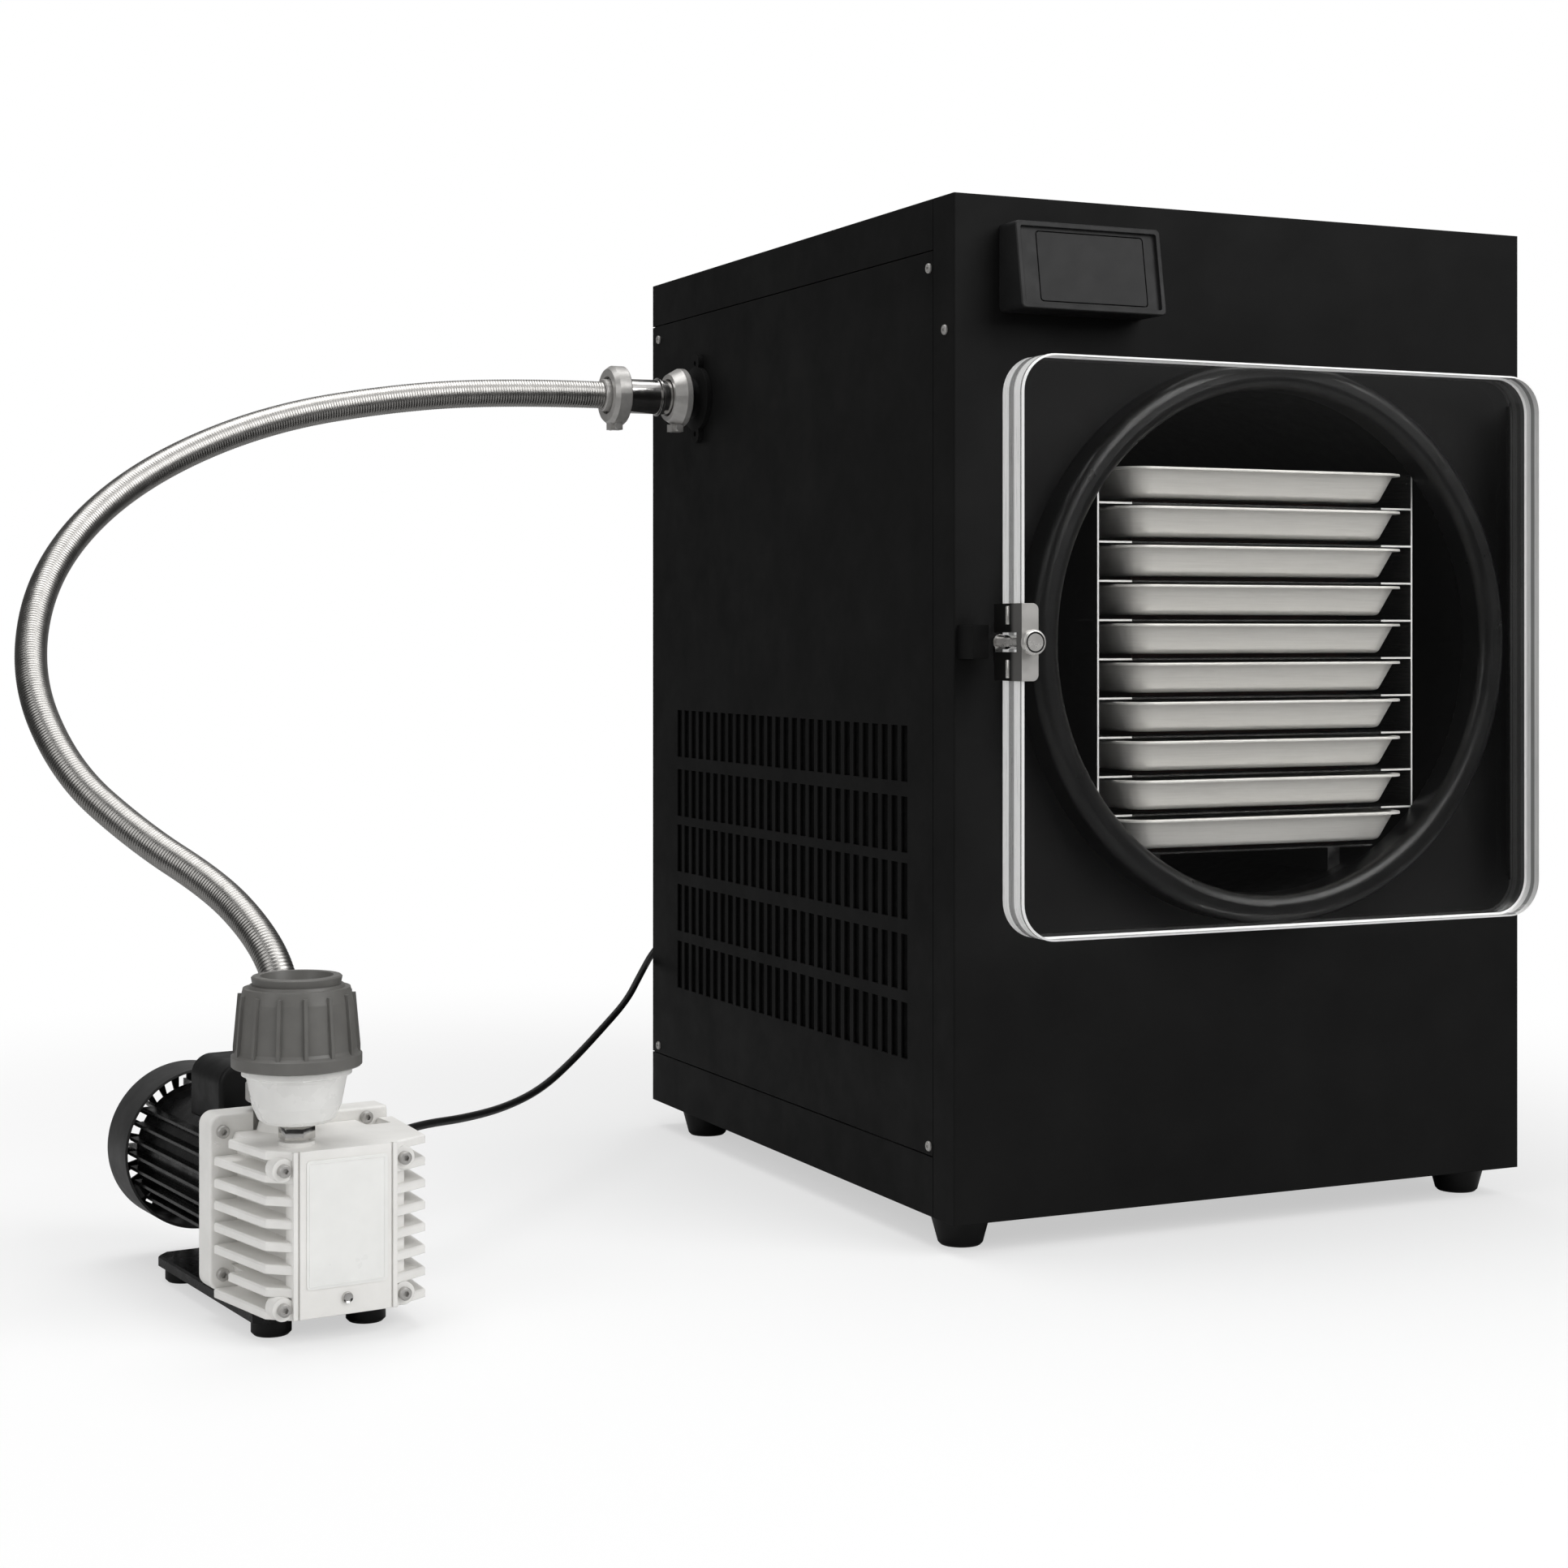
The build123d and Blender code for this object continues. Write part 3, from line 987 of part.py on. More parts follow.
# ---- pump, in its own frame -------------------------------------------------------------
BASE_TOP = FOOT_PAD + BASE_THICKNESS
CASE_LOW = BASE_TOP + FIT
FLANGE_LOW = CASE_LOW + FLANGE_RISE
INLET_PLANE_Z = CASE_TOP + INLET_NECK + KF_THICKNESS
FLANGE_V = CASE_DEPTH + FIT
MOTOR_V = FLANGE_V + FLANGE_DEPTH + FIT
COWL_V = MOTOR_V + MOTOR_LENGTH - COWL_OVERLAP


def case_outline(front, side, plate, depth0, depth1, corner):
    """Plan outline of the pump's case: flat front, corners cut back to the sides."""
    right = CASE_RIGHT_EXTRA
    points = [(-plate, depth0), (plate, depth0), (front + right, depth0 + corner), (side + right, depth1),
              (-side, depth1), (-front, depth0 + corner)]
    return make_face(Polyline(*points, close=True))


def oil_case():
    """Cast oil case: a core with level cooling fins round it, thick corner ribs and an inlet tower."""
    low, high = CASE_LOW, CASE_TOP
    outer = case_outline(CASE_FRONT_HALF, CASE_SIDE_HALF, CASE_PLATE_HALF, 0, CASE_DEPTH, 14)
    core = case_outline(CASE_FRONT_HALF - CASE_FIN_LENGTH, CASE_SIDE_HALF - CASE_FIN_LENGTH,
                        CASE_PLATE_HALF - 8, 0, CASE_DEPTH, 10)
    case = prism_z(core, low, high)
    pitch = (high - low - CASE_FIN_THICKNESS) / (CASE_FINS - 1)
    for i in range(CASE_FINS):
        z = low + i * pitch
        fin = prism_z(outer, z, z + CASE_FIN_THICKNESS)
        fin = fillet(fin.edges().filter_by(Axis.Z), 2.5)
        case += chamfer(fin.faces().sort_by(Axis.Z)[-1].edges().filter_by(lambda e: abs(e.center().X) > CASE_PLATE_HALF), 1.2)
    case += block(-CASE_PLATE_HALF, CASE_PLATE_HALF, -PLATE_PROUD, 12, low, high)
    for side in (-1, 1):
        x = side * CASE_PLATE_HALF
        case -= block(x - side * 4 - 0.6, x - side * 4 + 0.6, -PLATE_PROUD - 1, -PLATE_PROUD + PLATE_GROOVE, low - 3, high + 1)
        for z in (low + 8, high - 12):
            case += rod_y(side * CASE_BOSS_U, 1, 14, z, 8)
    case += rod_z(FILTER_U, FILTER_V, high - 1, high + 3, FILTER_STEM + 4)
    case += rod_z(FILTER_U, FILTER_V, high, high + FILTER_STEM_HEIGHT, FILTER_STEM)
    neck = INLET_NECK
    tower = turned([(0, -1), (LINE_RADIUS + 4, -1), (LINE_RADIUS + 2, 6), (LINE_RADIUS, 8), (LINE_RADIUS, neck - 2),
                    (KF_RADIUS, neck), (KF_RADIUS, neck + KF_THICKNESS - FIT), (0, neck + KF_THICKNESS - FIT)])
    case += Pos(INLET_U, INLET_V, high) * tower
    case &= block(-CASE_SIDE_HALF - 2, CASE_SIDE_HALF + CASE_RIGHT_EXTRA + 2, -20, CASE_DEPTH, 0, 2 * high)
    for u, v, z, r in case_screw_places():
        case -= rod_y(u, v, v + 9, z, r / 2 + PIN_PLAY)
    for u, v, z, r in flange_screw_places():
        case -= rod_y(u, v - 24, v, z, 2 * r)
    return case - Pos(INLET_U, INLET_V, high + neck) * Cylinder(LINE_BORE / 2, 2 * neck)


def case_screw_places():
    """Front screws as (across, depth of the seat, height, head radius)."""
    low, high = CASE_LOW, CASE_TOP
    return [(-CASE_BOSS_U, 1, high - 12, CASE_SCREW), (-CASE_BOSS_U, 1, low + 8, CASE_SCREW),
            (CASE_BOSS_U, 1, low + 8, CASE_SCREW), (CASE_BOSS_U, 1, high - 12, CASE_SCREW)]


def pump_flange():
    """Square cast flange between the oil case and the motor."""
    z0 = FLANGE_LOW
    z1 = z0 + FLANGE_HEIGHT
    width = 2 * FLANGE_HALF + FLANGE_RIGHT_EXTRA
    plate = Pos(FLANGE_RIGHT_EXTRA / 2, (z0 + z1) / 2) * RectangleRounded(width, FLANGE_HEIGHT, FLANGE_CORNER)
    plate -= Pos(FLANGE_HALF, z1) * Rectangle(2 * FLANGE_HALF - 20, 2 * FLANGE_STEP)
    flange = prism_y(plate, FLANGE_V, FLANGE_V + FLANGE_DEPTH)
    flange = fillet(flange.faces().sort_by(Axis.Y)[0].edges(), 2)
    for u, v, z, r in flange_screw_places():
        flange -= rod_y(u, v - 1, v + 9, z, r / 2 + PIN_PLAY)
    neck = LINE_RADIUS + 6
    return flange - rod_z(INLET_U, INLET_V, CASE_TOP - 2, CASE_TOP + 60, neck)


def flange_screw_places():
    u = FLANGE_HALF - 9
    return [(sx * u, FLANGE_V, z, CASE_SCREW) for sx in (-1, 1)
            for z in (FLANGE_LOW + 12, FLANGE_LOW + FLANGE_HEIGHT - 12)]


def pump_screws():
    """Socket cap screws of the case and the flange."""
    head = Cylinder(CASE_SCREW, 4, align=(Align.CENTER, Align.CENTER, Align.MIN))
    head = chamfer(head.edges().sort_by(Axis.Z)[-1], 0.8)
    head -= Pos(0, 0, 4) * extrude(RegularPolygon(CASE_SCREW / 2, 6), amount=-2.4)
    head += Pos(0, 0, -8) * Cylinder(CASE_SCREW / 2, 8, align=(Align.CENTER, Align.CENTER, Align.MIN))
    screws = []
    for u, v, z, _ in case_screw_places() + flange_screw_places():
        screws.append(in_pump(Pos(u, v - FIT, z) * Rot(90, 0, 0) * head))
    return screws


def motor_housing():
    """Cast motor body: a barrel with level fins along its sides, a terminal box and a flat rear."""
    r, length = MOTOR_RADIUS, MOTOR_LENGTH
    body = rod_y(0, MOTOR_V, MOTOR_V + length - 12, MOTOR_Z, r)
    body += rod_y(0, MOTOR_V, MOTOR_V + 14, MOTOR_Z, r + MOTOR_FIN - 1)
    for i in range(MOTOR_FINS):
        z = MOTOR_Z + (i - (MOTOR_FINS - 1) / 2) * MOTOR_FIN_PITCH
        half = math.sqrt((r + MOTOR_FIN) ** 2 - (z - MOTOR_Z) ** 2)
        body += block(-half, half, MOTOR_V + 4, MOTOR_V + length - 12, z - 1.2, z + 1.2)
    body += block(r - 14, GLAND_U - 12, GLAND_V - 30, GLAND_V + 30, GLAND_Z - 26, GLAND_Z + 10)
    body += block(-24, 24, MOTOR_V + 30, MOTOR_V + 105, PEDESTAL_TOP + FIT, MOTOR_Z)
    boss = block(-5, 5, COWL_V + 1, MOTOR_V + length - 12, r - 3, r + MOTOR_FIN)
    for angle in PAD_ANGLES:
        body += about_motor(boss, angle)
    body += turned_along_u(GLAND_U - 13, [(9, 0), (9, 5), (6, 6), (6, 9), (4.2, 13)])
    shaft_hole = rod_y(0, MOTOR_V + length - 40, MOTOR_V + length, MOTOR_Z, ROTOR_SHAFT + PIN_PLAY)
    return body - shaft_hole - rod_x(GLAND_U - 30, GLAND_U + 5, GLAND_V, GLAND_Z, 1)


def turned_along_u(u, outline):
    """A turned boss that points along +X from u at the gland's place."""
    profile = [(0, outline[0][1])] + outline + [(0, outline[-1][1])]
    return Pos(u, GLAND_V, GLAND_Z) * Rot(0, 90, 0) * turned(profile)


def motor_rotor():
    """Rear end of the motor's shaft with its cooling fan inside the cowl."""
    v0 = MOTOR_V + MOTOR_LENGTH - 38
    v1 = COWL_V + COWL_LENGTH - COWL_WALL - 3
    fan_v = MOTOR_V + MOTOR_LENGTH - 8
    rotor = rod_y(0, v0, v1, MOTOR_Z, ROTOR_SHAFT)
    rotor += rod_y(0, fan_v, v1, MOTOR_Z, 14)
    for i in range(8):
        blade = Pos(0, (fan_v + v1) / 2, 30) * Box(2, v1 - fan_v - 1, 36)
        rotor += Pos(0, 0, MOTOR_Z) * Rot(0, i * 45, 0) * blade
    return rotor


def fan_cowl():
    """Pressed round cowl over the motor's rear, slotted round its back, on three pads."""
    cowl = rod_y(0, COWL_V, COWL_V + COWL_LENGTH, MOTOR_Z, COWL_RADIUS)
    cowl = fillet(cowl.edges().sort_by(Axis.Y)[-1], 8)
    inner = COWL_RADIUS - COWL_WALL
    cavity = rod_y(0, COWL_V - 1, COWL_V + COWL_LENGTH - COWL_WALL, MOTOR_Z, inner)
    cowl -= fillet(cavity.edges().sort_by(Axis.Y)[-1], 7)
    back = COWL_V + COWL_LENGTH
    slot = block(-3.2, 3.2, back - 5, back + 5, COWL_SLOT_INNER, inner - 5)
    cowl = cowl.cut(*[about_motor(slot, i * 360 / COWL_SLOTS) for i in range(COWL_SLOTS)])
    reach = MOTOR_RADIUS + MOTOR_FIN + SEAT
    pad = block(-5, 5, COWL_V + 1, COWL_V + 9, reach, inner + COWL_WALL / 2)
    for angle in PAD_ANGLES:
        cowl += about_motor(pad, angle)
    return cowl


def about_motor(piece, angle):
    """Place a piece made above the origin at an angle round the motor's axis."""
    return Pos(0, 0, MOTOR_Z) * Rot(0, angle, 0) * piece


def capacitor_cover():
    """Rounded housing across the top of the motor for its start capacitor."""
    z0 = MOTOR_Z + MOTOR_RADIUS - 12
    v0, v1 = CAPACITOR_V, CAPACITOR_V + CAPACITOR_DEPTH
    cover = block(-CAPACITOR_HALF, CAPACITOR_HALF, v0, v1, z0, CAPACITOR_TOP)
    cover = fillet(cover.edges().filter_by(Axis.Y).group_by(Axis.Z)[-1], 15)
    cover = fillet(cover.faces().sort_by(Axis.Y)[0].edges().group_by(Axis.Z)[-1], 4)
    return cover - rod_y(0, v0 - 1, v1 + 1, MOTOR_Z, MOTOR_RADIUS + SEAT)


def pump_base():
    """Base plate with a pedestal that carries the motor."""
    base = block(-BASE_HALF, BASE_HALF, BASE_FRONT, BASE_FRONT + BASE_LENGTH, FOOT_PAD, BASE_TOP)
    base = chamfer(base.edges().filter_by(Axis.Z), 8)
    base = chamfer(base.faces().sort_by(Axis.Z)[-1].edges(), 1.5)
    return base + block(-20, 20, MOTOR_V + 34, MOTOR_V + 101, BASE_TOP - 1, PEDESTAL_TOP)


def pump_feet():
    """Four rubber pads under the base."""
    foot = turned([(0, 0), (PAD_RADIUS - 2, 0), (PAD_RADIUS, 2), (PAD_RADIUS, FOOT_PAD), (0, FOOT_PAD)])
    return [in_pump(Pos(side * (BASE_HALF - PAD_INSET), v, 0) * foot) for side in (-1, 1)
            for v in (BASE_FRONT + PAD_INSET, BASE_FRONT + BASE_LENGTH - PAD_INSET)]


BOWL_Z = CASE_TOP + FILTER_STEM_HEIGHT + FIT
CAP_Z = BOWL_Z + BOWL_HEIGHT


def filter_bowl():
    """Moulded bowl of the exhaust filter, threaded neck inside the cap."""
    r0, r1, h = BOWL_BOTTOM_RADIUS, BOWL_TOP_RADIUS, BOWL_HEIGHT
    t = 2.5
    outline = [(0, 0), (r0 - 4, 0), (r0, 3), (r0 + 4, 12), (r1 - 2, h - 8), (r1 - 1, h - 6), (r1 + 1.5, h - 5),
               (r1 + 1.5, h - 1), (r1 - 1, h), (r1 - 1, h + 30), (r1 - 1 - t, h + 30), (r1 - 1 - t, h - 6),
               (r0 + 4 - t, 14), (r0 - t, 6), (0, 6)]
    return Pos(FILTER_U, FILTER_V, BOWL_Z) * turned(outline)


def filter_cap():
    """Ribbed screw cap of the exhaust filter, open in its raised top ring."""
    r, body, top, h = CAP_RADIUS, CAP_BODY_RADIUS, CAP_TOP_RADIUS, CAP_HEIGHT
    inner = BOWL_TOP_RADIUS + 1.5 + SEAT
    outline = [(inner, 0), (r - 1, 0), (r, 1), (r, 8), (body + 1, 10), (body, 12), (body - 2.5, 45),
               (body - 4.5, 54), (top + 3, h - 8), (top + 2, h - 6), (top, h - 6), (top + 1, h - 1),
               (top, h), (top - 5, h), (top - 7, h - 7), (8, h - 9), (8, h - 12), (BOWL_TOP_RADIUS - 8, h - 14),
               (BOWL_TOP_RADIUS - 1 + SEAT, 46), (BOWL_TOP_RADIUS - 1 + SEAT, 4), (inner, 3)]
    cap = turned(outline)
    rib = block(-1.3, 1.3, -body - 2.2, -body + 6, 9, 50)
    rib &= turned([(0, 0), (body + 2.4, 0), (body + 2.4, 12), (body - 1.2, 52), (0, 52)])
    rib -= Cylinder(body - 4, 2 * h)
    for i in range(CAP_RIBS):
        cap += Rot(0, 0, (i + 0.5) * 360 / CAP_RIBS) * rib
    return Pos(FILTER_U, FILTER_V, CAP_Z + SEAT) * cap


def pump_plug():
    """Angled plug in the cabinet's outlet, the lead entering from below through a tapered boot."""
    w, h = SOCKET_SIZE
    end = CABLE_ROUTE[-1]
    face = DEPTH + FIT + 2 + FIT
    body = block(SOCKET_X - 12, SOCKET_X + 12, face, end[1] + 9, OUTLET_Z - 12, OUTLET_Z + 12)
    body = fillet(body.edges().filter_by(Axis.Y), 4)
    tongue_w = w / 2 - POCKET_WALL - SEAT
    tongue_h = h / 2 - POCKET_WALL - SEAT
    body += block(SOCKET_X - tongue_w, SOCKET_X + tongue_w, face - POCKET_DEPTH + 1, face + 2,
                  OUTLET_Z - tongue_h, OUTLET_Z + tongue_h)
    r = CABLE_DIAMETER / 2
    boot = turned([(0, end[2]), (r + 0.6, end[2]), (r + 3, OUTLET_Z - 11), (0, OUTLET_Z - 11)])
    return body + Pos(end[0], end[1], 0) * boot


# ---- all pieces -------------------------------------------------------------------------
def bounds(pieces):
    """Lowest and highest corner over all the pieces' solids."""
    boxes = [p.bounding_box() for piece in pieces for p in (piece if isinstance(piece, list) else [piece])]
    low = [min(tuple(b.min)[i] for b in boxes) for i in range(3)]
    high = [max(tuple(b.max)[i] for b in boxes) for i in range(3)]
    return low, high


def build():
    pieces = {
        "base_frame": base_frame(), "front_panel": front_panel(),
        "left_side_panel": left_side_panel(), "right_side_panel": right_side_panel(),
        "top_cover": top_cover(), "rear_panel": rear_panel(), "cabinet_feet": cabinet_feet(),
        "panel_screws": panel_screws(), "equipment_deck": equipment_deck(),
        "vacuum_chamber": vacuum_chamber(),
        "insulation_jacket": insulation_jacket(), "door_gasket": door_gasket(),
        "tray_rack": tray_rack(), "heater_mats": heater_mats(),
        "display_bezel": display_bezel(), "display_screen": display_screen(),
        "door_plate": door_plate(), "hinge_fixed_leaf": hinge_fixed_leaf(),
        "hinge_door_leaf": hinge_door_leaf(), "hinge_pin": hinge_pin(),
        "latch_clip": latch_clip(), "latch_knob": latch_knob(), "latch_cam": latch_cam(),
        "latch_keeper": latch_keeper(), "compressor": compressor(),
        "condenser_coil": condenser_coil(), "fan_shroud": fan_shroud(),
        "cooling_fan": cooling_fan(), "control_box": control_box(),
        "power_panel": power_panel(), "power_switch": power_switch(),
        "vacuum_pipe": vacuum_pipe(), "port_flange": port_flange(),
        "hose_coupling": hose_coupling(), "kf_clamps": kf_clamps(),
        "oil_case": in_pump(oil_case()), "pump_flange": in_pump(pump_flange()),
        "pump_screws": pump_screws(), "motor_housing": in_pump(motor_housing()),
        "motor_rotor": in_pump(motor_rotor()), "fan_cowl": in_pump(fan_cowl()),
        "capacitor_cover": in_pump(capacitor_cover()), "pump_base": in_pump(pump_base()),
        "pump_feet": pump_feet(), "filter_bowl": in_pump(filter_bowl()),
        "filter_cap": in_pump(filter_cap()),
    }
    for i in range(TRAYS):
        pieces[f"tray_{i + 1:02d}"] = tray(i)
    free = {
        "hose_fittings": hose_fittings(),
        "vacuum_hose": tube(HOSE_ROUTE, HOSE_DIAMETER),
        "pump_cable": tube(CABLE_ROUTE, CABLE_DIAMETER),
        "pump_plug": pump_plug(),
    }
    return pieces, free


def main():
    pieces, free = build()
    low, high = bounds(pieces.values())
    shift = Pos(-(low[0] + high[0]) / 2, -(low[1] + high[1]) / 2, 0)
    print("shift", [round(v, 3) for v in shift.position], "floor", round(low[2], 4))
    for name, piece in {**pieces, **free}.items():
        if isinstance(piece, list):
            piece = Compound(children=[shift * p for p in piece])
        else:
            piece = shift * piece
        export_step(piece, f"parts/{name}.step")


main()
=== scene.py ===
"""Freeze dryer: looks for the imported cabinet, its chamber and trays, and the vacuum pump beside it."""
import math

import bmesh
import bpy
from mathutils import Matrix, Vector


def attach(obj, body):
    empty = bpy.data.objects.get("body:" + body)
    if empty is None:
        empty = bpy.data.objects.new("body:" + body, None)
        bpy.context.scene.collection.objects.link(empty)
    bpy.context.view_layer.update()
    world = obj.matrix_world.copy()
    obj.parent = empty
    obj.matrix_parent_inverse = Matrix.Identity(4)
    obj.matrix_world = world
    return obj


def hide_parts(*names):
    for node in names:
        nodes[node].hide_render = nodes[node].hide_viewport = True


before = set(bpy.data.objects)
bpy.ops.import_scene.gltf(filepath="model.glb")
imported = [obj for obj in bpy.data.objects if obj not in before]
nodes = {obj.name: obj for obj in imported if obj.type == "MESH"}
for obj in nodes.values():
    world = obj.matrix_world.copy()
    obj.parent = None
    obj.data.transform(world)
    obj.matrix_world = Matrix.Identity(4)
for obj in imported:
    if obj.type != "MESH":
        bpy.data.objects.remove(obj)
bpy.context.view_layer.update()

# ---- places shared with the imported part, in metres ----------------------------------------
SHIFT = Vector((0.020904, -0.275952, 0.0))      # cabinet's front left corner in the row's frame
CABINET_WIDTH = 0.55
CHAMBER_X = CABINET_WIDTH / 2 + SHIFT.x
TRAY_HALF_WIDTH = 0.121                         # flat part of a tray's front, from its middle
DOOR_FRONT, DOOR_BACK = -0.3384, -0.3064
LATCH_HEIGHT = 0.477
KNOB_X = 0.0499
KNOB_FACE = -0.3505                             # whatever lies ahead of it is the knob's face
KNOB_SHADE_RING = (0.0067, 0.0079)                  # inner and outer radius of the painted shade ring on the knob's face
CLIP_SIDE = 0.0443                              # outside of the wall that wraps the door's edge
CLIP_FOLD = (DOOR_FRONT + 0.01, DOOR_FRONT + 0.016)
KNUCKLE_RADIUS, KNUCKLE_LENGTH, KNUCKLE_RISE = 0.0024, 0.014, 0.0205
KNUCKLE_SINK, KNUCKLE_Y = 0.0009, -0.3185       # axis behind the clip's wall, and its place front to back
VENT_SCREEN = (0.003, 0.0045)                   # depth range behind a side panel's outside
VENT_SCREEN_REACH = ((0.066, 0.13), (0.572, 0.424))
PUMP = Vector((-0.4927, -0.038, 0.0)) + SHIFT
PUMP_YAW = math.radians(7.0)
PUMP_PLACE = Matrix.Translation(PUMP) @ Matrix.Rotation(PUMP_YAW, 4, "Z")
WARM_WHITE = (1.0, 0.98, 0.945)


# ---- node helpers -------------------------------------------------------------------------
def reckon(tree, operation, first, second=None):
    """One step of arithmetic on sockets or plain numbers."""
    step = tree.nodes.new("ShaderNodeMath")
    step.operation = operation
    for place, value in enumerate((first, second)):
        if isinstance(value, (int, float)):
            step.inputs[place].default_value = value
        elif value is not None:
            tree.links.new(value, step.inputs[place])
    return step.outputs["Value"]


def carry(tree, value, low, high, start, end, kind="LINEAR"):
    """A number between low and high for a value between start and end."""
    span = tree.nodes.new("ShaderNodeMapRange")
    span.interpolation_type = kind
    for socket, number in (("From Min", start), ("From Max", end), ("To Min", low), ("To Max", high)):
        span.inputs[socket].default_value = number
    tree.links.new(value, span.inputs["Value"])
    return span.outputs["Result"]


class Finish:
    """A node material whose patterns read the piece's Object coordinates."""

    def __init__(self, name, color, roughness, metallic=0.0, **sockets):
        self.material = bpy.data.materials.new(name)
        self.material.use_nodes = True
        self.nodes = self.material.node_tree.nodes
        self.links = self.material.node_tree.links
        self.shader = self.nodes["Principled BSDF"]
        self.shader.inputs["Base Color"].default_value = (*color, 1)
        self.shader.inputs["Roughness"].default_value = roughness
        self.shader.inputs["Metallic"].default_value = metallic
        for socket, value in sockets.items():
            self.shader.inputs[socket.replace("_", " ")].default_value = value
        own = self.nodes.new("ShaderNodeTexCoord")
        self.coordinates, self.facing = own.outputs["Object"], own.outputs["Normal"]
        self.normal = None

    def stretched(self, scale):
        """Object coordinates scaled unevenly, for a grain that runs one way."""
        mapping = self.nodes.new("ShaderNodeMapping")
        mapping.inputs["Scale"].default_value = scale
        self.links.new(self.coordinates, mapping.inputs["Vector"])
        return mapping.outputs["Vector"]

    def noise(self, scale, detail=3.0, rough=0.55, vector=None):
        texture = self.nodes.new("ShaderNodeTexNoise")
        texture.inputs["Scale"].default_value = scale
        texture.inputs["Detail"].default_value = detail
        texture.inputs["Roughness"].default_value = rough
        self.links.new(vector or self.coordinates, texture.inputs["Vector"])
        return texture.outputs["Fac"]

    def ramp(self, value, low, high, start=0.3, end=0.7):
        """A value read as a colour between low and high."""
        ramp = self.nodes.new("ShaderNodeValToRGB")
        ramp.color_ramp.elements[0].position = start
        ramp.color_ramp.elements[1].position = end
        ramp.color_ramp.elements[0].color = (*low, 1)
        ramp.color_ramp.elements[1].color = (*high, 1)
        self.links.new(value, ramp.inputs["Fac"])
        return ramp.outputs["Color"]

    def spread(self, value, low, high, start=0.3, end=0.7):
        """A value read as a number between low and high."""
        return carry(self.material.node_tree, value, low, high, start, end)

    def reckon(self, operation, first, second=None):
        return reckon(self.material.node_tree, operation, first, second)

    def both(self, first, second):
        """1 where both values are 1."""
        return self.reckon("MULTIPLY", first, second)

    def within(self, value, low, high):
        """1 where a value lies between low and high."""
        return self.both(self.reckon("GREATER_THAN", value, low), self.reckon("LESS_THAN", value, high))

    def split(self, vector):
        """The X, Y and Z of a vector."""
        parts = self.nodes.new("ShaderNodeSeparateXYZ")
        self.links.new(vector, parts.inputs["Vector"])
        return parts.outputs

    def mottle(self, low, high, scale, detail=4.0):
        """Slow change of colour over the surface."""
        self.links.new(self.ramp(self.noise(scale, detail), low, high), self.shader.inputs["Base Color"])
        return self

    def sheen_change(self, low, high, scale, vector=None):
        """Roughness that drifts between low and high."""
        self.links.new(self.spread(self.noise(scale, 3, 0.6, vector), low, high), self.shader.inputs["Roughness"])
        return self

    def bump(self, value, strength, distance):
        """Relief from a value, added to what is there already."""
        bump = self.nodes.new("ShaderNodeBump")
        bump.inputs["Strength"].default_value = strength
        bump.inputs["Distance"].default_value = distance
        self.links.new(value, bump.inputs["Height"])
        if self.normal is not None:
            self.links.new(self.normal, bump.inputs["Normal"])
        self.normal = bump.outputs["Normal"]
        self.links.new(self.normal, self.shader.inputs["Normal"])
        return self

    def soft_edges(self, radius):
        """Edges that catch the light as if slightly rounded."""
        bevel = self.nodes.new("ShaderNodeBevel")
        bevel.samples = 4
        bevel.inputs["Radius"].default_value = radius
        if self.normal is not None:
            self.links.new(self.normal, bevel.inputs["Normal"])
        self.normal = bevel.outputs["Normal"]
        self.links.new(self.normal, self.shader.inputs["Normal"])
        return self


def powder_coat():
    coat = Finish("black_powder_coat", (0.0068, 0.0068, 0.0068), 0.5, Specular_IOR_Level=0.08)
    coat.soft_edges(0.0009)
    coat.mottle((0.006, 0.006, 0.006), (0.0082, 0.0082, 0.0081), 14, 5)
    coat.sheen_change(0.46, 0.58, 22)
    return coat.bump(coat.noise(1500, 2), 0.25, 0.0002).material


def black_rubber():
    rubber = Finish("black_rubber", (0.004, 0.004, 0.004), 0.36, Specular_IOR_Level=0.3)
    rubber.mottle((0.003, 0.003, 0.003), (0.005, 0.005, 0.005), 60)
    rubber.sheen_change(0.3, 0.42, 35)
    return rubber.bump(rubber.noise(700, 3), 0.08, 0.0001).material


def gasket_rubber():
    """Smooth moulded rubber with a soft sheen along its lip."""
    rubber = Finish("gasket_rubber", (0.003, 0.003, 0.003), 0.3, Specular_IOR_Level=0.42)
    rubber.mottle((0.002, 0.002, 0.002), (0.004, 0.004, 0.004), 40)
    rubber.sheen_change(0.27, 0.34, 25)
    return rubber.bump(rubber.noise(500, 2), 0.03, 0.0001).material


